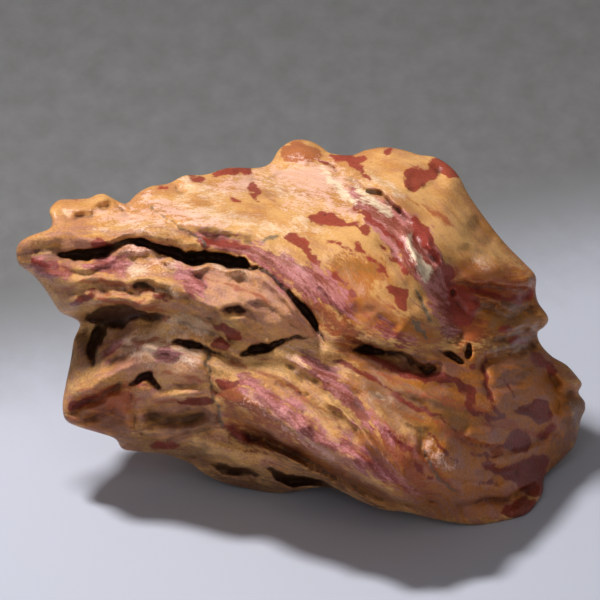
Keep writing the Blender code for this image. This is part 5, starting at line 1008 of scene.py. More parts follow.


# %% [markdown]
# ## The map of colours
#
# Red is the crisp brick red of the patches, russet a soft rusty stain, plum the wine-coloured bands,
# rose their pale edges and, on a few streaks, a painted sheen on the folds. Cream marks the lightest
# veins, grey the chalcedony in the cracks, and olive is partly the stone's greenish tint and partly
# painted shade under the blocks and in the dips. Amber and salmon are wide washes under them. Pale is
# painted light: highlights on the crests and lips, and light laid on parts that lie in shade. Rust
# marks the long streaks, and umber is painted shade in the hollows and under the ledges.

# %% Marks in red
# Each mark has its kind, its name, and its points, or a spot's middle, radii and turn.
PAINT = {}
PAINT["red"] = [
    (patch, "drop on the upper slope", [(-5.4, 14), (-5, 14.6), (-4.4, 14.5), (-4.1, 14), (-3.4, 13.8),
     (-4.3, 13.4), (-4, 12.9), (-4.3, 12.8), (-5, 13.8)]),
    (patch, "long blot on the slope", [(0.6, 11.2), (2.2, 11.8), (3.4, 11.7), (3.9, 11.2), (5, 10.8),
     (6.9, 10.6), (6.8, 9.4), (5.5, 10.2), (4.4, 10.4), (1.8, 10.5)]),
    (patch, "comma", [(2.6, 8.7), (3.8, 9), (5, 8.1), (5.6, 7.7), (5.3, 7.5), (4.2, 8.3), (3.4, 8.6)]),
    (patch, "wedge", [(-1.6, 9.4), (0.1, 9.6), (0.6, 9.2), (1.5, 7.5), (2.1, 6.8), (1.9, 6.4), (0.4, 7.5),
     (0, 8.1)]),
    (patch, "hook", [(3, 5.6), (3.6, 5.9), (4.2, 5.6), (5.2, 4), (5.8, 3.6), (5.6, 3.2), (5.1, 3.4),
     (3.9, 4.8), (3.3, 5.1)]),
    (patch, "shield on the cheek", [(8.7, 4.5), (10.7, 4), (10.6, 3.2), (10.7, 2.1), (10.2, 1.8),
     (9.6, 2.5), (9.3, 3.3), (8.7, 3.8)]),
    (patch, "blot at the top right", [(10.5, 15.8), (11.8, 16.3), (12.6, 15.9), (13.7, 15.8), (13.7, 15.3),
     (12.8, 14.9), (11.4, 13.7), (10.4, 14.6), (10.3, 15.2), (10.8, 15.2)]),
    (patch, "blot on the corner", [(13, 16.8), (13.4, 17.3), (14.1, 17.3), (14.9, 16.7), (16, 15.4),
     (15.2, 15.4), (13.2, 15.8)]),
    (spot, "dot on the top edge", (8.9, 18), (0.4, 0.4), 0),
    (patch, "top edge, middle", [(3.1, 17.7), (6, 17.6), (6.8, 17.3), (5.4, 16.4), (4.5, 16.9), (3.5, 17)]),
    (streak, "thread to the groove", [(5.4, 17.2, 0.2), (5.8, 16.4, 0.3), (7, 15, 0.25)]),
    (streak, "thread on the top", [(2.1, 17.1, 0.1), (2.7, 16.7, 0.16), (3.4, 16.5, 0.1)]),
    (patch, "top edge, left", [(-9, 15.7), (-7.8, 16.1), (-6.4, 16.5), (-5, 16.5), (-4.8, 15.9),
     (-5.4, 15.5), (-6.4, 15.7), (-8.8, 15.3)]),
    (patch, "small one beside it", [(-11.2, 15.6), (-10.2, 15.5), (-9.5, 15), (-9.8, 14.7), (-11.2, 15.3)]),
    (spot, "fleck", (-13.7, 14.3), (0.4, 0.15), 0),
    (spot, "fleck on the knob", (-23, 13.1), (0.7, 0.15), 0),
    (patch, "below the brow", [(-20.9, 8.9), (-20.4, 9), (-18.8, 8.8), (-18.9, 8.2), (-20.8, 8.1)]),
    (patch, "beside the cream crest", [(11.2, 11.4), (12.8, 10.2), (13.5, 8.4), (14.1, 7.4), (13.9, 6.6),
     (13.4, 6.8), (12.9, 7.6), (12, 8.3), (11.4, 9.4)]),
    (patch, "below it", [(14.3, 6.8), (15, 6.4), (15.4, 5.4), (15, 4.4), (14.4, 5.4)]),
    (patch, "band under the gash", [(6.2, -2.2), (7.6, -2.5), (10.8, -4.1), (12.5, -4.4), (14, -4.1),
     (16.8, -5.4), (17.6, -6.2), (17.5, -7), (17.2, -7.4), (17.8, -8.1), (19, -8.5), (20.4, -8.5),
     (20.2, -9), (18.6, -9), (17.2, -8.5), (16.4, -7.4), (16.6, -6.5), (14.6, -5.2), (11.8, -5.1),
     (10, -4.5), (7, -3)]),
    (streak, "red line", [(3.6, -3, 0.22), (6.6, -4.4, 0.2), (11.2, -7.6, 0.2), (12.8, -8.1, 0.32),
     (14, -8.7, 0.22), (15.4, -9.9, 0.1)]),
    (patch, "blot on the lobe", [(21.6, -8), (22.7, -7.6), (23.6, -6.9), (24.5, -7.1), (25.5, -8.6),
     (24.1, -9.6), (23.4, -9)]),
    (patch, "second blot", [(23.8, -10.6), (24.6, -9.8), (25.7, -9.4), (25.6, -10), (24.3, -11.1)]),
    (patch, "third blot", [(21, -10.2), (22, -9.9), (23, -10.7), (23.2, -11.8), (22, -12.3), (19.6, -11.7),
     (20.8, -11)]),
    (patch, "dark stain", [(18.2, -13.4), (19.2, -13.1), (19.8, -13.7), (21.2, -13.5), (22.8, -12.7),
     (24.8, -12.6), (24.8, -15), (24.2, -16.8), (22.6, -16.4), (21.2, -15.2), (19, -14.3)]),
    (spot, "drop below it", (18.9, -15.3), (0.8, 0.35), 0),
    (patch, "tear by the vein", [(11.5, -13.1), (12, -13.3), (12.4, -14), (13.2, -14.6), (13, -15),
     (11.8, -14)]),
    (streak, "streak on the bulge", [(12.7, -10.2, 0.1), (15.2, -12.8, 0.2), (16, -13.2, 0.1)]),
    (streak, "streak before it", [(8.3, -9.7, 0.15), (10.2, -11.4, 0.26), (11.2, -11.9, 0.1)]),
    (streak, "thread on the slope", [(8, 8.7, 0.08), (8.6, 7.8, 0.12), (10.2, 6.4, 0.22),
     (10.9, 5.4, 0.15)]),
    (patch, "foot", [(20, -18.2), (22.2, -16.9), (23.6, -17.2), (23.2, -18.4), (21.6, -18.9)]),
    (spot, "fleck by the drop", (-6.4, 13), (0.6, 0.25), -10),
    (patch, "fleck on the middle block", [(-22.9, 2.7), (-22, 3.4), (-21, 3.7), (-20.5, 3.3),
     (-22.6, 2.3)]),
    (spot, "second fleck there", (-20.4, 4), (0.6, 0.25), 0),
    (spot, "third fleck there", (-14, 3.3), (0.9, 0.25), -12),
    (patch, "blot in the seam", [(-8.8, 0.5), (-7.6, 0.6), (-6.6, 0.2), (-5.8, -0.8), (-6.5, -1.1)]),
    (patch, "bead in the seam", [(-8.9, -1.1), (-7.9, -0.8), (-7, -1.4), (-7.5, -2), (-8.6, -1.7)]),
    (patch, "under the great fold", [(-7.6, -9.3), (-5.2, -10.5), (-4.8, -11.4), (-5.7, -11.2),
     (-6.8, -10.4)]),
    (patch, "stripe left of the fold", [(-8.7, -5.2), (-7.4, -5), (-6.1, -5.2), (-6.2, -5.7),
     (-7.8, -5.8)]),
    (patch, "stripe on the lower block", [(-12.4, -7), (-9.4, -6.7), (-8.3, -7.1), (-9.4, -7.5),
     (-11, -7.5)]),
    (patch, "edge of the lobe", [(23.2, -2.2), (25.2, -3.1), (25.9, -4.1), (25.3, -4.5), (24.1, -3.7),
     (23.2, -3.2)]),
    (spot, "fleck by the hole", (17.3, -3.7), (0.5, 0.3), -30),
    (patch, "flank stripe", [(17, 4.3), (18.4, 4.1), (20, 3.6), (22, 3.5), (23.4, 3.9), (23, 2.9),
     (21, 2.8), (17.4, 3.7)]),
    (spot, "flank fleck", (20.6, 0.1), (0.8, 0.4), 0),
    (spot, "second flank fleck", (21.9, -1.1), (0.9, 0.4), -10),
    (patch, "lip of the great gash", [(-10.1, 9.1), (-8.6, 9.2), (-5.4, 8.5), (-5, 7.9), (-6.4, 8.1),
     (-9.8, 8.4)]),
    (streak, "left end of the block", [(-26.6, 6.8, 0.3), (-25.4, 6.6, 0.35), (-24.4, 6.4, 0.3)]),
    (patch, "blot above the left rim", [(-23.4, -7.4), (-22, -7), (-20.8, -6.4), (-20.2, -6.6),
     (-21.6, -7.6), (-23, -8.2)]),
    (patch, "strip on the sill", [(-15, -11.4), (-13, -11.2), (-12, -11.6), (-13, -11.9), (-14.6, -11.9)]),
    (streak, "crimson flow", [(5.2, 12.4, 0.1), (6.6, 11.4, 0.34), (9.6, 9, 0.24), (10.8, 7.6, 0.1)]),
    (streak, "crimson flow below", [(5, 9.2, 0.08), (7.6, 6.6, 0.26), (8.8, 5.4, 0.1)]),
    (patch, "crimson channel", [(14.9, 4.8), (17.2, 3.8), (17.8, 2.4), (17.4, 1), (16.6, 0.2), (15.6, 0.6),
     (15, 2.2)]),
    (streak, "red vein of the lobe", [(18.6, -2.2, 0.1), (18.4, -3.8, 0.24), (18.6, -5.6, 0.26),
     (19.2, -7.2, 0.2), (20, -8.4, 0.1)]),
    (streak, "thread of the lobe", [(20, -4.6, 0.08), (21, -5.8, 0.16), (21.6, -7, 0.1)]),
    (streak, "thread under the crescent", [(17, -12.2, 0.1), (18.6, -12.6, 0.2), (20.2, -12.4, 0.1)]),
]

# %% Marks in russet
PAINT["russet"] = [
    (patch, "valley", [(14.4, 6.2), (15.8, 5.4), (23.4, 4.6), (21.6, 3), (17.4, 3), (18.6, 0), (18.2, -1.4),
     (15.2, -0.8)]),
    (patch, "below the plum band", [(0, 3.2), (1.8, 3.2), (4.6, 1.4), (6.8, -1.8), (3.8, -1)]),
    (patch, "on the great fold", [(-6, -5.4), (1.8, -11.6), (5, -13.4), (4, -14), (1, -12.2),
     (-7.8, -6.6)]),
    (patch, "ochre slope right of the rib", [(7.2, -9.6), (10.8, -12.2), (13.4, -16.4), (12.4, -16.8),
     (10.6, -15)]),
    (patch, "lower block", [(-21.6, -6.8), (-17, -5.4), (-17.4, -8.4), (-20, -8.8), (-21.6, -8.4)]),
    (patch, "upper inside of the hollow", [(-20.4, 3), (-18, 3.2), (-15, 2.4), (-13.4, 1.4), (-18.4, 2.2)]),
    (patch, "shoulder below the fold", [(-7.4, -8.8), (-4.4, -10), (-2, -11.8), (-3, -12.6),
     (-7.2, -10.2)]),
]

# %% Marks in plum
PAINT["plum"] = [
    (patch, "plum band", [(-10.4, 9.8), (-8.5, 9.7), (-1.6, 7.6), (0, 6.6), (3.2, 5.4), (5.3, 1.2),
     (-0.4, 4), (-5, 7.2), (-9.5, 8.2)]),
    (patch, "left end", [(-27, 6.8), (-25.6, 7.3), (-23, 6), (-23.2, 4.9), (-26.2, 5.7)]),
    (patch, "under the gash", [(-21.4, 6.1), (-20.6, 6.9), (-17.8, 7.3), (-16.8, 6.8), (-17, 6),
     (-18.2, 5.3)]),
    (patch, "around the knuckle", [(-12.4, 6.2), (-10.8, 6), (-9.6, 4.8), (-9.8, 3.4), (-11, 3.4)]),
    (patch, "second fold", [(0, -2.2), (2.4, -3.2), (6.8, -7.8), (6.6, -10), (1.2, -4.4), (0, -3.2)]),
    (patch, "left of the great fold", [(-6.2, -4.6), (-4.8, -4.7), (-3.6, -5.8), (0.2, -7), (-0.4, -7.7),
     (-2, -7.3), (-5.4, -6)]),
    (patch, "crest of the great fold", [(-4.4, -6.1), (-2.4, -6.5), (1.8, -9.5), (3.6, -11.4), (3.2, -12.2),
     (1.4, -11.1), (-4, -7.3)]),
    (patch, "trough", [(4.4, -10.6), (6, -11.4), (11.6, -16.2), (6.8, -14.4), (4.2, -11.8)]),
    (patch, "river", [(5.2, 14.4), (7.2, 13.4), (11.4, 11.2), (14, 8), (15.7, 1.8), (15.8, -0.4),
     (14.8, -1), (14, 0), (12.4, 4.4), (10.8, 5.8), (6.6, 11), (5.2, 12.4)]),
    (patch, "speckled patch", [(7.6, 1), (8.8, 0.8), (11.1, -1), (11.3, -1.7), (10.4, -1.7), (7.9, -0.2)]),
    (patch, "on the lower block", [(-14.8, -2), (-13.8, -1.6), (-12.2, -2), (-12.2, -2.9), (-13.6, -3.1)]),
    (patch, "tongue", [(-16.9, -5.2), (-15.7, -4.9), (-14.5, -5.4), (-14.8, -6), (-16.2, -6)]),
    (patch, "short furrows", [(7.4, -9.2), (8.8, -9.9), (11.3, -12.1), (10.4, -12.1), (8.8, -11.3)]),
    (patch, "crest of the lower block", [(-20, -1.6), (-18.4, -1), (-17.8, -1.7), (-19.2, -2.8)]),
    (patch, "plum beside the gash", [(-6.8, 8.4), (-5, 8.1), (-1.6, 5.2), (-0.2, 3.4), (-1, 3.4),
     (-4.6, 6.8), (-6.2, 7.4)]),
]

# %% Marks in rose
PAINT["rose"] = [
    (patch, "brow band", [(-20.4, 11.8), (-15.2, 11.8), (-13.2, 10.8), (-18, 10.8), (-20, 11.1)]),
    (patch, "crest beyond the crack", [(-15, 13.4), (-11.4, 12.2), (-7, 10.2), (-10.4, 10.4),
     (-14.8, 12.4)]),
    (patch, "face below the cheek", [(-1.4, -2), (0.6, -2.4), (3, -4), (1.8, -4.4), (0, -3.8)]),
    (patch, "crest under the brow", [(-17.4, 8), (-15.8, 8.2), (-14.2, 6.8), (-11.6, 6.8), (-10.6, 6.2),
     (-13, 6)]),
    (patch, "blush left", [(-8.6, 14.4), (-4.8, 15.8), (-3.8, 15.3), (-4.4, 14.3), (-7.6, 13.8)]),
    (patch, "blush middle", [(-3.2, 16), (2.2, 17), (4, 14.4), (2.6, 13.4), (0.4, 13.8)]),
    (streak, "long blush", [(3, 16.4, 0.3), (4.2, 14.4, 0.6), (9.6, 8.6, 0.3)]),
    (streak, "blush on the slope below", [(-1.4, 12.6, 0.2), (1, 12.8, 0.5), (6, 11.4, 0.2)]),
    # Painted highlights: the glint on the bulge and the sheen along two folds.
    (streak, "glint of the bulge", [(13, -11.6, 0.1), (13.6, -12.6, 0.3), (14.4, -13.4, 0.2)]),
    (streak, "sheen of the great fold", [(-5, -6.6, 0.1), (-3.2, -7.4, 0.4), (3.2, -12.8, 0.15)]),
    (streak, "sheen of the second fold", [(0, -2.2, 0.1), (2, -3.6, 0.26), (6, -7.8, 0.1)]),
]

# %% Marks in cream
PAINT["cream"] = [
    (patch, "bright streak", [(5.6, 14.6), (8.7, 12.3), (8.9, 11.6), (8, 11.7), (6.2, 13.4)]),
    (patch, "cream crest", [(11, 9.6), (11.4, 8.1), (12.9, 6.2), (13.1, 5.2), (12.4, 5.3), (11.1, 7.6),
     (10.7, 9)]),
    (streak, "white crease", [(2.2, 16.6, 0.1), (3, 15.2, 0.3), (5.4, 12.6, 0.15)]),
]

# %% Marks in grey
PAINT["grey"] = [
    (streak, "dash on the cheek", [(11.7, 3.9, 0.13), (12.5, 1.9, 0.26), (13, 1, 0.16)]),
    (streak, "second dash", [(11.3, 1, 0.16), (11.9, 0.2, 0.26), (12.7, -0.7, 0.14)]),
    (streak, "crack to the gash", [(-15, 12.3, 0.04), (-12, 10.3, 0.11), (-9.9, 9.1, 0.2),
     (-9.5, 8.5, 0.14)]),
    (streak, "vein above the plum band", [(-3.8, 8.9, 0.1), (-3, 9.2, 0.18), (-2.2, 9.4, 0.2)]),
    (streak, "grey crack", [(-9.5, -1.6, 0.14), (-9.2, -2.6, 0.16), (-9.3, -3.4, 0.12), (-9, -4.4, 0.12),
     (-8.8, -6.6, 0.08), (-8.3, -7.4, 0.1), (-7.8, -9.7, 0.14)]),
    (streak, "vein by the bulge", [(12, -9.8, 0.06), (12.4, -12.4, 0.12), (13.8, -14.6, 0.15),
     (15.6, -16.2, 0.12)]),
]

# %% Marks in olive
# Olive is the stone's greenish tint on the keel, the shell and the upright furrow, and painted shade under
# the blocks, the folds and the tip.
PAINT["olive"] = [
    (patch, "keel", [(-5.6, -10.9), (-1.6, -12.5), (0, -13.4), (-1, -13.7), (-5, -12)]),
    (patch, "upright furrow", [(-17.1, -7.2), (-16.4, -7.4), (-16.2, -10), (-16.8, -10.6), (-17.2, -9)]),
    (patch, "shell", [(-9.6, -13.4), (-5, -14.6), (-3.6, -15.7), (-6, -15.7), (-8.6, -14.9)]),
    (patch, "underside of the middle block", [(-24, 3), (-19.6, 3.2), (-10, 2.1), (-4.8, 0.2), (-6.4, -1.2),
     (-9.4, -0.2), (-17, 2.4), (-23.4, 2)]),
    (patch, "point", [(19.2, 2.2), (23, 2.2), (24.6, 1.2), (23.6, -0.4), (18.8, 0)]),
    (patch, "above the keel", [(-4.2, -10.2), (4.6, -14), (10.2, -17.6), (8.4, -17.8), (5, -15.9),
     (-6, -10.8)]),
    (patch, "under the tip", [(-27.2, 7.8), (-25.6, 8.2), (-24, 8.2), (-24.8, 7.4), (-26.4, 7.2)]),
    (patch, "hollow wall", [(-22.2, 0), (-20.8, -0.4), (-20.2, -2.2), (-21, -3.6), (-22.4, -2.2)]),
    (patch, "between folds", [(9.8, -7.4), (12, -8.4), (14.6, -10), (13, -10.6), (11, -9.4)]),
    (patch, "below the slope", [(0, 6.8), (2, 6.4), (3.2, 5.6), (1.8, 5.4), (0, 5.8)]),
    (patch, "dusk of the cheek", [(3, 7.4), (7.2, 6.8), (7, 5.4), (5, 5.2), (3.4, 6)]),
    (patch, "shade of the middle right", [(4.6, -4.2), (7.2, -3.8), (15, -6.2), (17.4, -8.2), (16.2, -10.2),
     (6.2, -6.6)]),
    (patch, "shade under the fold", [(-5, -2.2), (-2.4, -2.6), (0, -3.8), (0, -5.4), (-4.6, -3.6)]),
    (streak, "dusk under the block", [(-9.6, 0, 0.2), (-7.4, -1.4, 0.4), (-3.2, -0.8, 0.1)]),
    (patch, "shade before the bulge", [(6.6, -6.8), (9.2, -6.6), (14.6, -9.4), (14, -11), (8.8, -9.6)]),
]

# %% Marks in amber
PAINT["amber"] = [
    (patch, "wash of the lower slope", [(3, 0), (10, -3), (14, -2), (23, -2), (27, -4), (27.5, -12),
     (21, -18.5), (15, -19), (10, -17), (5, -10), (10, -11), (13, -9), (8, -7)]),
    (patch, "wash of the right side", [(15.6, 6.8), (23.5, 5.4), (24, -1), (20, -1.5), (16, 0)]),
    (patch, "wash under the great fold", [(-7.5, -7), (-5, -8), (5, -14), (9.5, -17), (8, -17.6),
     (-6.5, -10)]),
    (patch, "wash of the left rim", [(-23.8, -7), (-20, -5.5), (-16.5, -6.5), (-16, -9.5), (-19, -11),
     (-22.5, -10)]),
    (patch, "wash of the middle right", [(4, -5), (7.2, -4.2), (16, -7), (17, -10), (14, -11),
     (6.6, -7.2)]),
    (patch, "wash of the panel's foot", [(3, 6.8), (7.2, 7.2), (8.4, 5.4), (7.2, 3.4), (13.6, -0.2),
     (13.6, -1.6), (6.6, -0.2), (4, 2)]),
]

# %% Marks in salmon
PAINT["salmon"] = [
    (patch, "wash of the middle block", [(-11, 6.8), (-2.4, 4.8), (1.8, -0.5), (-1, -1), (-7, 3),
     (-10.4, 3.8)]),
    (patch, "wash of the lower block", [(-19.5, -1.6), (-15, -0.2), (-10.4, -2.2), (-9.4, -4.4),
     (-12, -5.4), (-19, -3.6)]),
    (patch, "wash of the great fold", [(-6, -6.2), (-3, -6.6), (5, -11.4), (8, -14), (6.6, -14.4),
     (-0.4, -10)]),
    (patch, "flesh of the middle block", [(-11.4, 6.4), (-6, 6.2), (0, 0.6), (-5, 1.4), (-11, 3)]),
]

# %% Marks in pale
# Pale is painted light: highlights on crests and lips, and light laid on parts that lie in shade.
PAINT["pale"] = [
    (patch, "slope glow", [(-2.8, 14.4), (-1.6, 14.7), (-0.9, 14.1), (-1.3, 13.1), (-2.3, 13.3)]),
    (patch, "band", [(2.8, 16), (5, 13.9), (5.7, 12.7), (5, 12.5), (3.1, 14.9)]),
    (patch, "top left", [(-12, 15), (-10.8, 15.3), (-7.6, 13.4), (-8.8, 13), (-11.6, 14.2)]),
    (patch, "lip", [(6.6, 15.9), (9, 14.6), (10.2, 13.6), (9.8, 13.1), (7, 15)]),
    (patch, "crest of the middle block", [(-8.2, 6.6), (-6.4, 6.6), (-6, 6.1), (-7.8, 6)]),
    (patch, "under the gash", [(-17, 6.8), (-15.8, 7), (-15, 6), (-16, 5.2), (-17.2, 5.4)]),
    (patch, "on the slope below", [(-0.4, 11.8), (1.6, 10.4), (3, 9.8), (1.8, 9.6), (-0.6, 10.8)]),
    (patch, "flank light", [(17.4, 7.4), (18.6, 7.2), (19.4, 6.4), (18.4, 6.2), (17.4, 6.6)]),
    (patch, "light of the second fold", [(6.6, -6.2), (7.8, -6.5), (9, -7), (8, -7.2), (6.8, -6.7)]),
    (patch, "crest of the upper slope", [(-12.4, 13.2), (-9, 12.4), (0, 9.8), (-3, 9.6), (-10.4, 11.2)]),
    (streak, "white of the slope, left", [(-10.2, 14.2, 0.2), (-8.8, 13.6, 0.4), (-7.4, 14, 0.2)]),
    (streak, "white of the slope", [(-3.8, 15.2, 0.2), (-2, 14, 0.4), (1.8, 13, 0.1)]),
    (streak, "white shoulder", [(4.4, 16, 0.2), (5.6, 14.6, 0.4), (8.4, 12.6, 0.2)]),
    (streak, "glint in the flow", [(9.6, 11.4, 0.1), (10.8, 10.4, 0.2), (12, 9.2, 0.1)]),
    (streak, "light on the block's crest", [(-10.4, 6.6, 0.1), (-6.4, 6, 0.34), (-4.6, 5, 0.2)]),
    (streak, "light on the brow", [(-20, 10.2, 0.1), (-17.6, 10.6, 0.3), (-12.4, 9.8, 0.2)]),
    (patch, "light on the lower block", [(-18.8, -1.2), (-15, 0), (-10, -1.6), (-10.4, -3.2), (-13, -3.4),
     (-18.2, -2.2)]),
    (patch, "light under the block", [(-14.2, 1.2), (-12, 1.6), (-9.6, 1), (-8.4, -0.2), (-10.4, -0.6)]),
    (streak, "light of the middle block", [(-18, 4.4, 0.1), (-14, 4, 0.3), (-12.2, 3.4, 0.1)]),
]

# %% Marks in rust
PAINT["rust"] = [
    (streak, "streak on the middle block", [(-23.6, 4.2, 0.1), (-21, 4.8, 0.2), (-18, 4.6, 0.16),
     (-12, 3, 0.1)]),
    (streak, "second streak there", [(-10, 5.4, 0.06), (-5, 3.8, 0.2), (-2.8, 2.4, 0.1)]),
    (streak, "streak on the lower block", [(-20.4, -3, 0.1), (-17.4, -1.6, 0.2), (-14.2, -1, 0.24),
     (-11, -1.6, 0.1)]),
    (streak, "streak low on the lower block", [(-15, -4.2, 0.1), (-12.4, -4.4, 0.2), (-9.6, -5, 0.14)]),
    (streak, "streak under the crest", [(-16, -7, 0.1), (-10.4, -7.2, 0.14), (-8.8, -7, 0.1)]),
    (streak, "streak by the trough", [(-6.8, -3, 0.1), (-1, -5.6, 0.2), (4, -9.6, 0.1)]),
    (streak, "streak between the folds", [(1.6, -3.6, 0.1), (4, -5.6, 0.2), (8.4, -10, 0.1)]),
    (streak, "streak on the fourth fold", [(8, -4.4, 0.1), (11, -6, 0.2), (14.4, -7.2, 0.2),
     (17.6, -9, 0.1)]),
    (streak, "streak above the bulge", [(10.4, -8.4, 0.08), (15.6, -10.6, 0.2), (18, -12.2, 0.1)]),
    (streak, "streak along the keel", [(-2, -11.4, 0.1), (4.4, -14.4, 0.16), (8, -16.2, 0.1)]),
    (streak, "long streak of the lobe", [(18, -9, 0.1), (23, -10.4, 0.2), (25.6, -10.6, 0.1)]),
    (streak, "stain under the blot", [(10.4, 13.4, 0.1), (13.6, 11.6, 0.2), (15, 10.4, 0.1)]),
    (streak, "edge of the plum band", [(-3.8, 6.4, 0.1), (-1.6, 5.2, 0.24), (4.6, 0.6, 0.1)]),
    (patch, "dull of the knob", [(-1.8, 18.4), (0, 19), (1.8, 18.2), (2.2, 17), (-1.6, 17)]),
    (streak, "long streak over the lobe", [(14, -6.6, 0.1), (20, -8.8, 0.34), (22.2, -10.4, 0.15)]),
    (streak, "streak past the bulge", [(13.2, -9, 0.1), (19, -11.8, 0.3), (22, -12.2, 0.1)]),
    (streak, "streak beside the vein", [(10.2, -10.6, 0.1), (13.8, -14.4, 0.3), (15.8, -16.2, 0.1)]),
    (streak, "streak on the fourth fold's foot", [(5, -6.6, 0.1), (9.2, -10, 0.26), (11.2, -12.2, 0.1)]),
    (streak, "streak on the lower panel", [(2.2, 6.2, 0.1), (5.6, 2.6, 0.24), (7.2, 0.4, 0.1)]),
]

# %% Marks in umber
# Umber is painted shade in the hollows, under the ledges and on the lobe's edge away from the lamp.
PAINT["umber"] = [
    (patch, "hollow under the swell", [(-15.4, -8.4), (-14, -7.9), (-8.2, -8.7), (-10.4, -10.2),
     (-15.2, -9.6)]),
    (patch, "under the sill", [(-18.8, -10), (-10.4, -11.4), (-9, -12.2), (-10, -13.6), (-17, -12)]),
    (patch, "under the nose", [(-23.2, -8.2), (-18.8, -8), (-17.2, -10.2), (-19.4, -10.2), (-23.2, -8.8)]),
    (patch, "above the keel", [(-7.2, -9.6), (5, -14.4), (7, -16.8), (0.4, -13.6), (-6, -11.2)]),
    (patch, "shell", [(-9.6, -14), (-3.8, -15.2), (4, -16), (-3, -16.6), (-7.4, -15.8)]),
    (patch, "under the tip", [(-28, 7.6), (-24.8, 8), (-23.4, 7.2), (-24, 6.6), (-27.6, 6.8)]),
    (patch, "hollow wall", [(-22.4, -0.4), (-21.2, -0.6), (-20.2, -2), (-20.4, -3.2), (-22.6, -2)]),
    (patch, "under the flank ledge", [(15.6, 4), (18, 3), (23.4, 3), (23, 1.6), (15.6, 2.6)]),
    (patch, "valley of the flank", [(18.6, -0.8), (23.4, -0.4), (24, -1.6), (22, -2.2), (18.4, -1.8)]),
    (patch, "edge of the lobe", [(26.6, -7), (28.4, -6.6), (29, -8), (27.8, -12), (25.6, -14),
     (24.8, -13.2), (26.8, -9)]),
    (patch, "under the panel", [(5.2, -1), (7.6, -1), (13, -3.4), (12.4, -4.4), (6.6, -2.4)]),
    (streak, "dusk of the lobe", [(18.8, -3.6, 0.1), (21.4, -4.6, 0.4), (22.8, -4.2, 0.1)]),
    (streak, "thread under the second fold", [(0, -4.2, 0.08), (2.4, -6.2, 0.16), (6.6, -10.2, 0.08)]),
    (streak, "thread along the great fold", [(-6.4, -8.2, 0.08), (-3.8, -10.2, 0.16), (2.2, -14, 0.08)]),
]
print(sum(len(marks) for marks in PAINT.values()), "marks in", len(PAINT), "colours")

# %% [markdown]
# ## Round the back
#
# Only one side of the stone has a map. The bands run right through it, so the rest takes its marks
# from smooth waves, stretched along the bands, in the same colours and in about the same shares.
# Where the two meet, at the edge, one set of distances fades into the other.

# %% Storing the distances on the mesh
BEHIND_FROM = 0.6
BEHIND_OVER = 2.6
# How far the waves of each colour stretch along the bands, their size in mm, and how rare it is.
BACK_MARKS = {
    "red": (0.45, 3.6, 1.25),
    "russet": (0.5, 8.0, 0.7),
    "plum": (0.28, 4.2, 0.95),
    "rose": (0.35, 5.5, 0.9),
    "cream": (0.3, 3.4, 1.75),
    "grey": (0.16, 3.0, 1.8),
    "olive": (0.4, 9.0, 0.55),
    "amber": (0.5, 14.0, 0.0),
    "salmon": (0.4, 11.0, 0.2),
    "pale": (0.4, 7.0, 1.1),
    "rust": (0.12, 2.2, 1.1),
    "umber": (0.4, 8.0, 1.2),
}


def store(mesh, name, values):
    kind = "FLOAT_VECTOR" if values.ndim == 2 else "FLOAT"
    attribute = mesh.attributes.new(name, kind, "POINT")
    attribute.data.foreach_set("vector" if values.ndim == 2 else "value", values.astype(np.float32).ravel())


def store_colours(mesh):
    face_points = to_face(points_of(mesh))
    places = face_points[:, :2]
    bands = BAND_SHEET(places)
    along = along_bands(places)
    store(mesh, "grain", np.c_[along, bands, face_points[:, 2]])
    behind = ease((rim_height(places, rim_line) - face_points[:, 2] - BEHIND_FROM) / BEHIND_OVER)
    bent = places + 0.10 * np.c_[waves(places, 1.7, 51), waves(places, 1.5, 52)]
    for number, (colour, marks) in enumerate(PAINT.items()):
        field = np.full(len(places), -FAR)
        for kind, _, *shape in marks:
            field = np.maximum(field, kind(bent, *shape))
        stretch, size, rare = BACK_MARKS[colour]
        flow = np.c_[along * stretch, bands, face_points[:, 2]]
        waved = (waves(flow, size, 60 + number) - rare) * size * 0.3
        store(mesh, colour, np.clip(field * (1 - behind) + waved * behind, -FAR, FAR))
    # How deep each slot cuts, which the shader turns into painted shade.
    pits = np.zeros(len(places))
    wandered = wandering(places)
    for kind, _, points, *sizes in FRONT_FORMS:
        if kind is slot:
            slot(wandered, pits, points, *sizes)
    store(mesh, "pit", -pits * (1 - behind))
    return behind


behind = store_colours(stone.data)
print(round(100 * float((behind > 0.5).mean())), "% of the vertices are round the back")

# %% [markdown]
# ## Lows and crests
#
# The lows are painted darker, as shade: the deeper a place lies, the darker it is. How low a vertex
# lies is measured by smoothing a copy of the skin: where the smoothed copy stands outside the real
# one, the stone is hollow. A few rounds of smoothing find the cracks and pores, and many rounds find
# the dips between the folds.

# %% How hollow each place is
HOLLOW_REACH = {"crack": 8, "dip": 60}


def smoothed_copies(mesh, points):
    """The points after as many rounds of averaging with their neighbours as each reach asks."""
    pairs = np.empty(len(mesh.edges) * 2, np.int32)
    mesh.edges.foreach_get("vertices", pairs)
    ends = np.concatenate([pairs[0::2], pairs[1::2]])
    others = np.concatenate([pairs[1::2], pairs[0::2]])
    neighbours = np.bincount(ends, minlength=len(points))[:, None]
    current = points.copy()
    copies = {}
    for step in range(1, max(HOLLOW_REACH.values()) + 1):
        sums = [np.bincount(ends, current[others, axis], len(points)) for axis in range(3)]
        current = (current + np.stack(sums, 1) / neighbours) / 2
        for name, reach in HOLLOW_REACH.items():
            if reach == step:
                copies[name] = current
    return copies


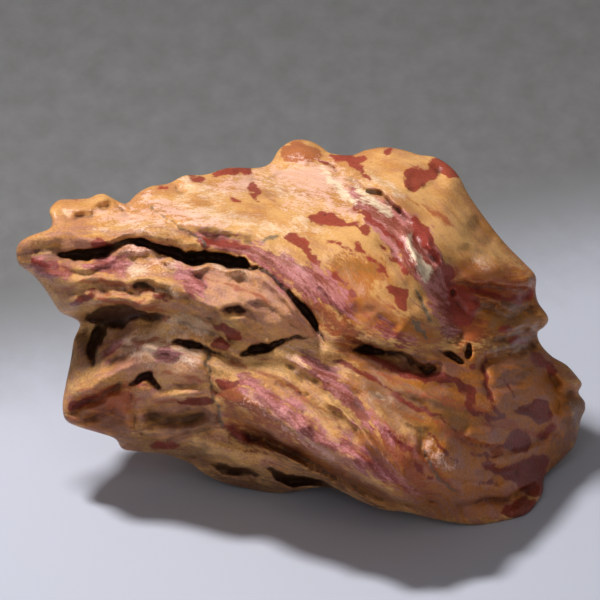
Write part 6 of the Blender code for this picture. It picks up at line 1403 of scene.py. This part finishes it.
normals = np.empty(len(stone.data.vertices) * 3, np.float32)
stone.data.vertex_normals.foreach_get("vector", normals)
normals = normals.reshape(-1, 3)
skin_points = points_of(stone.data)
for name, copy in smoothed_copies(stone.data, skin_points).items():
    depth = ((copy - skin_points) * normals).sum(1) / MM
    store(stone.data, name, depth)
    print(name, "depth in mm, lowest and highest:", np.round(np.percentile(depth, (1, 99)), 2))

# %% [markdown]
# ## Writing a shader as sums
#
# A material is a network of nodes, but its sense is arithmetic: fray this shore, fade that stain.
# So a socket is wrapped in a small class whose operators add the Math nodes, and the formulas below
# read as formulas. Every other node comes from one function that takes its type, settings and inputs.


# %% The socket class
class Wire:
    """One output socket. Sums and products with numbers or other wires give new wires."""

    def __init__(self, tree, socket):
        self.tree = tree
        self.socket = socket

    def maths(self, operation, *values):
        return node(self.tree, "ShaderNodeMath", {"operation": operation}, dict(enumerate(values)))

    def __add__(self, other):
        return self.maths("ADD", self, other)

    def __sub__(self, other):
        return self.maths("SUBTRACT", self, other)

    def __mul__(self, other):
        return self.maths("MULTIPLY", self, other)

    def __rsub__(self, other):
        return self.maths("SUBTRACT", other, self)

    __radd__ = __add__
    __rmul__ = __mul__

    def above(self, edge, soft):
        """0 below the edge, 1 above it, with a soft step this wide."""
        values = {"Value": self, "From Min": edge - soft / 2, "From Max": edge + soft / 2}
        return node(self.tree, "ShaderNodeMapRange", {"interpolation_type": "SMOOTHSTEP"}, values)


def node(tree, kind, settings, inputs, output=0):
    """Adds a node: first its settings, then a number, colour or wire for each input named."""
    made = tree.nodes.new(kind)
    for name, value in settings.items():
        setattr(made, name, value)
    for name, value in inputs.items():
        if isinstance(value, Wire):
            tree.links.new(value.socket, made.inputs[name])
        else:
            made.inputs[name].default_value = value
    return Wire(tree, made.outputs[output])


# %% [markdown]
# ## The pigments
#
# Seventeen colours are enough. They are linear values, as the shader wants them, which look darker in
# figures than they do on a screen. Most have a name that a collector would use at the bench. Pale, and
# in part rose, moss, umber and soot, stand in for painted light or shade.

# %% Pigments
OCHRE = (0.50, 0.215, 0.055, 1)
HONEY = (0.64, 0.34, 0.120, 1)
TAN = (0.26, 0.105, 0.050, 1)
AMBER = (0.42, 0.135, 0.022, 1)
SALMON = (0.47, 0.195, 0.130, 1)
BRICK = (0.24, 0.034, 0.022, 1)
WINE = (0.22, 0.036, 0.036, 1)
LILAC = (0.50, 0.175, 0.175, 1)
BLUSH = (0.36, 0.165, 0.150, 1)
RUST = (0.32, 0.066, 0.022, 1)
# Rose is the pink of the band edges, and on three streaks a painted sheen.
ROSE_AND_SHEEN = (0.86, 0.52, 0.40, 1)
# Painted light: the pale of highlights on crests and of light laid on parts in shade.
PAINTED_LIGHT = (0.90, 0.66, 0.46, 1)
CREAM = (0.88, 0.74, 0.50, 1)
SLATE = (0.12, 0.105, 0.075, 1)
# Moss is partly the stone's greenish tint and partly painted shade.
MOSS_AND_SHADE = (0.19, 0.105, 0.022, 1)
# Umber is painted shade in the hollows and under the ledges.
UMBER_SHADE = (0.085, 0.036, 0.016, 1)
# Soot is the dark of real pores, and painted shade in the lows and slots.
SOOT_AND_SHADE = (0.040, 0.013, 0.007, 1)
print("ochre is", [round(255 * value ** (1 / 2.2)) for value in OCHRE[:3]], "of 255 on a screen")


# %% Mixing colours
def blend(amount, under, over):
    """The colour over, laid on the colour under by this amount."""
    return node(amount.tree, "ShaderNodeMix", {"data_type": "RGBA"}, {0: amount, 6: under, 7: over}, 2)


def stretched(vector, factors):
    return node(vector.tree, "ShaderNodeVectorMath", {"operation": "MULTIPLY"}, {0: vector, 1: factors})


def speckle(vector, scale, detail=2.0, rough=0.5):
    """Noise of this many grains to a millimetre, mostly between -1 and 1."""
    inputs = {"Vector": vector, "Scale": scale, "Detail": detail, "Roughness": rough}
    return (node(vector.tree, "ShaderNodeTexNoise", {}, inputs) - 0.5) * 5


def node_colour(tree, colour):
    """One plain colour as a socket."""
    plain = node(tree, "ShaderNodeRGB", {}, {})
    plain.socket.default_value = colour
    return plain


def scaled(colour, amount):
    """The colour made lighter or darker by this factor."""
    return node(colour.tree, "ShaderNodeVectorMath", {"operation": "SCALE"}, {0: colour, "Scale": amount})


# %% [markdown]
# ## What varies over the stone
#
# The noises that fray the stains are stretched along the bands, so that a shore runs with them. The
# round ones are for what has no direction: clouds of tone, and grit that polishing can't take away.
# Above the plum band the stone takes a better polish and is less sandy, and below it the reds deepen.


# %% The grain of the stone
def attribute(tree, name, output="Fac"):
    """What the mesh stores under this name."""
    return node(tree, "ShaderNodeAttribute", {"attribute_name": name}, {}, output)


def millimetres(tree):
    """The place on the object, in millimetres."""
    return stretched(node(tree, "ShaderNodeTexCoord", {}, {}, "Object"), (1 / MM, 1 / MM, 1 / MM))


def coordinate(vector, axis):
    return node(vector.tree, "ShaderNodeSeparateXYZ", {}, {"Vector": vector}, axis)


def what_varies(tree):
    """Every stored value and every noise that the formulas use, each under its name."""
    here = SimpleNamespace(tree=tree)
    for name in (*PAINT, "pit", *HOLLOW_REACH):
        setattr(here, name, attribute(tree, name))
    grain = attribute(tree, "grain", "Vector")
    place = millimetres(tree)
    here.cloud = speckle(place, 0.2, 4)
    here.shore = speckle(place, 1.1, 4, 0.6)
    here.bands = speckle(stretched(grain, (0.16, 1.0, 0.2)), 0.9, 6, 0.62)
    here.threads = speckle(stretched(grain, (0.22, 1.0, 0.2)), 1.5, 6, 0.66)
    here.frayed = speckle(stretched(grain, (0.5, 1.0, 0.4)), 1.6, 6, 0.72)
    here.grit = speckle(place, 3.4, 4, 0.72)
    here.dust = speckle(place, 8.0, 2, 0.6)
    across = coordinate(grain, "Y")
    here.deep = (0 - across).above(-1.0, 4.0)
    here.sandy = 1 - (across + here.cloud * 0.8).above(2.5, 3.0) * 0.75
    return here


# %% [markdown]
# ## Laying the colours
#
# The colours go on as glazes do: the sandy ground with its wide washes and the painted light of the
# pale marks, the stains that soaked in along the bands with the painted shade of olive and umber, the
# marks with clear shores, and last dark pores with painted shade in the lows and slots. Each line
# adds noise to a stored distance, finds where the sum is above an edge, and blends one pigment in
# there: a wide step gives a soft stain and a narrow one a clear shore.


# %% The ground and its stains, with painted light and shade
def ground(here):
    """Ochre and honey, the washes that soaked in widest, and the painted light of the pale marks."""
    colour = blend((here.cloud + here.bands * 0.6 + here.grit * 0.35).above(0, 1.6), OCHRE, HONEY)
    colour = blend((here.amber + here.frayed * 1.2 + here.grit * 0.3).above(0, 1.4), colour, AMBER)
    salmon = (here.salmon + here.frayed * 1.2 + here.grit * 1.2).above(0, 1.4)
    colour = blend(salmon * (0.5 + here.grit * 0.3), colour, SALMON)
    blush = (here.threads * 0.7 + here.frayed * 0.5 - here.cloud * 0.4).above(0.1, 1.1)
    colour = blend(blush * (here.sandy + 0.3) * 0.45, colour, BLUSH)
    # Painted light: the pale marks lighten the crests and parts that lie in shade.
    colour = blend((here.pale + here.frayed + here.grit * 0.4).above(0.3, 1.6) * 0.6, colour, PAINTED_LIGHT)
    return blend((here.bands - here.cloud * 0.3 + here.grit * 0.4).above(0.9, 0.8) * 0.6, colour, TAN)


def stained_and_shaded(here, colour):
    """The colour under soft brown stains and painted shade, and threads and flecks of rust."""
    # Olive: partly greenish tint, partly painted shade under blocks and folds.
    olive = (here.olive + here.frayed * 1.2 + here.grit * 1.1).above(0.4, 0.9)
    russet = (here.russet + here.frayed * 1.6 + here.grit * 0.5).above(0.1, 0.9)
    # Umber: painted shade in the hollows and under the ledges.
    umber = (here.umber + here.frayed * 0.9 + here.grit * 0.7).above(0, 1.2)
    rust = (here.rust + here.threads * 0.3 + here.grit * 0.2).above(0, 0.35)
    flecks = (here.threads + here.grit * 0.6 + here.bands * 0.5).above(0.95, 0.5)
    colour = blend(russet * 0.8, blend(olive * 0.45, colour, MOSS_AND_SHADE), RUST)
    colour = blend(rust * 0.75, blend(umber * 0.6, colour, UMBER_SHADE), RUST)
    return blend(flecks * 0.55, colour, RUST)


# %% The marks and the painted shade in the lows
def marked(here, colour):
    """The colour under the marks that have a clearer shore."""
    # Rose: pink band edges, and painted sheen on the bulge and two folds.
    rose = (here.rose + here.frayed * 1.2 + here.grit * 0.6).above(0, 0.9)
    colour = blend(rose * (0.6 + here.threads * 0.25), colour, ROSE_AND_SHEEN)
    wine = blend((here.threads * 0.9 + here.bands * 0.5 + here.grit * 0.25).above(0.15, 0.9), WINE, LILAC)
    plum = (here.plum + here.frayed * 0.5 + here.threads * 0.5 + here.grit * 0.2).above(0, 0.5)
    colour = blend(plum * 0.85, colour, wine)
    colour = blend((here.cream + here.shore * 0.3 + here.threads * 0.3).above(0, 0.6) * 0.75, colour, CREAM)
    shade = 1.1 - here.deep * 0.35 + here.threads * 0.2 + here.grit * 0.1
    brick = scaled(node_colour(here.tree, BRICK), shade)
    colour = blend((here.red + here.shore * 0.14 + here.grit * 0.08).above(0, 0.2) * 0.93, colour, brick)
    colour = blend((here.grey + here.shore * 0.12 + here.grit * 0.14).above(0, 0.2) * 0.75, colour, SLATE)
    return scaled(colour, 1 + (here.grit * 0.22 + here.dust * 0.20) * here.sandy)


def soiled_and_shaded(here, colour, low):
    """The colour with soot in its pores, and painted shade in the lows and deep in the slots."""
    pores = (here.dust * 0.5 + here.grit * 1.1 - here.cloud * 0.2).above(1.6, 0.4)
    # Soot in the pores, then painted shade that darkens the lows.
    colour = blend(low * 0.6, blend(pores * 0.7, colour, SOOT_AND_SHADE), SOOT_AND_SHADE)
    # Painted shade deep in the slots.
    return blend((here.pit + here.shore * 0.25).above(0.9, 1.2) * 0.85, colour, SOOT_AND_SHADE)


# %% The polished agate
SPECULAR_LEVEL = 0.22
BUMP_REACH = MM


def agate_material():
    material = bpy.data.materials.new("polished agate")
    material.use_nodes = True
    tree = material.node_tree
    surface = tree.nodes["Principled BSDF"]
    here = what_varies(tree)
    # How deep each place lies in a crack or dip, which sets the painted shade.
    low = (here.crack * 8 + here.dip * 1.3 + here.grit * 0.12).above(0.8, 1.0)
    colour = soiled_and_shaded(here, marked(here, stained_and_shaded(here, ground(here))), low)
    tree.links.new(colour.socket, surface.inputs["Base Color"])
    surface.inputs["Specular IOR Level"].default_value = SPECULAR_LEVEL
    roughness = 0.25 + here.sandy * 0.04 + here.grit * 0.05 - here.dust * here.sandy * 0.07 + low * 0.3
    tree.links.new(roughness.socket, surface.inputs["Roughness"])
    height = (here.grit * 0.022 + here.dust * 0.006 + here.bands * 0.010) * here.sandy + here.frayed * 0.010
    bump = node(tree, "ShaderNodeBump", {}, {"Height": height, "Distance": BUMP_REACH, "Strength": 1.0})
    tree.links.new(bump.socket, surface.inputs["Normal"])
    return material


stone.data.materials.append(agate_material())
print("the material has", len(stone.data.materials[0].node_tree.nodes), "nodes")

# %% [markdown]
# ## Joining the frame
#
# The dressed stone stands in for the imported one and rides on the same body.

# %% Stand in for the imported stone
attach(stone, "root")
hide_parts("agate")
print("rides on root, in place of agate")

# %% [markdown]
# ## The studio
#
# The stone lies on a flat cloth, pale under it and turning grey behind and to the right: painted
# shade, where the lamp's light falls off. One small lamp hangs above it at the upper left, so that
# every rolled lip throws a clear shadow, and a wide weak one in front keeps the lows readable. Dim
# warm air fills in the rest. The camera is far away with a long lens, so the stone isn't distorted.

# %% The cloth
CLOTH_REACH = 1500.0
CLOTH_PALE = (0.46, 0.48, 0.55, 1)
# The grey is painted shade: the cloth darkens where the lamp's light falls off.
CLOTH_IN_SHADE = (0.150, 0.150, 0.147, 1)
CLOTH_FLECK = (0.45, 0.45, 0.46, 1)
GREY_FROM = 24.0
GREY_TO = 64.0


def cloth_material():
    """Pale, and grey as painted shade behind and right of the stone, with a brushed fleece's faint clouds.
    """
    material = bpy.data.materials.new("pale cloth")
    material.use_nodes = True
    tree = material.node_tree
    surface = tree.nodes["Principled BSDF"]
    place = millimetres(tree)
    back = coordinate(place, "Y")
    right = coordinate(place, "X")
    pile = speckle(stretched(place, (1, 0.5, 1)), 0.35, 4, 0.6)
    middle = (GREY_FROM + GREY_TO) / 2
    # Painted shade: the cloth turns grey towards the back and the right.
    grey = (back - right * 0.5 + pile * 2).above(middle, GREY_TO - GREY_FROM)
    colour = blend(grey, CLOTH_PALE, CLOTH_IN_SHADE)
    colour = blend((pile * 0.5 + 0.5) * 0.12, colour, CLOTH_FLECK)
    tree.links.new(colour.socket, surface.inputs["Base Color"])
    surface.inputs["Roughness"].default_value = 0.95
    return material


def build_cloth():
    cloth = bmesh.new()
    bmesh.ops.create_grid(cloth, x_segments=1, y_segments=1, size=CLOTH_REACH * MM)
    mesh = bpy.data.meshes.new("studio_cloth")
    cloth.to_mesh(mesh)
    cloth.free()
    mesh.materials.append(cloth_material())
    made = bpy.data.objects.new("studio_cloth", mesh)
    bpy.context.scene.collection.objects.link(made)
    return made


build_cloth()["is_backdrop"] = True
print("the cloth reaches", CLOTH_REACH, "mm each way")


# %% Lamps
AIR_COLOUR = (1.0, 0.92, 0.86, 1)
AIR_STRENGTH = 0.14


def lamp(name, place, target, size, watts, colour):
    """A round lamp of this many mm across at one place, turned to another."""
    light = bpy.data.lights.new(name, "AREA")
    light.shape = "DISK"
    light.size = size * MM
    light.energy = watts
    light.color = colour
    made = bpy.data.objects.new(name, light)
    made.location = Vector(place) * MM
    made.rotation_euler = (Vector(place) - Vector(target)).to_track_quat("Z", "Y").to_euler()
    bpy.context.scene.collection.objects.link(made)


lamp("overhead lamp", place=(-80, 12, 216), target=(0, -5, 12), size=42, watts=0.60, colour=(1, 0.99, 1))
lamp("front fill", place=(10, -220, 130), target=(0, -8, 10), size=200, watts=0.15, colour=(0.93, 0.96, 1))

world = bpy.data.worlds.new("studio air")
world.use_nodes = True
air = world.node_tree.nodes["Background"].inputs
air["Color"].default_value = AIR_COLOUR
air["Strength"].default_value = AIR_STRENGTH
bpy.context.scene.world = world
bpy.context.scene.view_settings.view_transform = "Standard"
print(len(bpy.data.lights), "lamps in air of strength", AIR_STRENGTH)

# %% Camera
CAMERA_DISTANCE = 2000.0
CAMERA_LENS = 1200.0
CAMERA_TARGET = (0.0, 3.0, 0.0)


def place_camera():
    """Looks square at the stone's face, from far away."""
    target = to_world(*[np.array([value]) for value in CAMERA_TARGET])[0]
    data = bpy.data.cameras.new("studio camera")
    data.lens = CAMERA_LENS
    data.sensor_width = 36
    data.clip_end = 10
    camera = bpy.data.objects.new("studio camera", data)
    away = np.array([0, -LEAN_OVER, LEAN_UP]) * CAMERA_DISTANCE * MM
    camera.location = target + away
    camera.rotation_euler = (math.pi / 2 - FACE_TILT, 0, 0)
    bpy.context.scene.collection.objects.link(camera)
    bpy.context.scene.camera = camera
    return camera


print("camera at, in mm:", [round(value / MM) for value in place_camera().location])

# %% [markdown]
# ## Measuring what was made
#
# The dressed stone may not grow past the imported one. Both boxes are written down side by side, so
# that they can be compared after each render.

own_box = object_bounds()
boxes = {"cad": [list(corner) for corner in cad_box], "visual": [list(corner) for corner in own_box]}
print("CAD box and visual box, in mm:")
for name, (low, high) in boxes.items():
    print(name, [round((b - a) / MM, 2) for a, b in zip(low, high)])
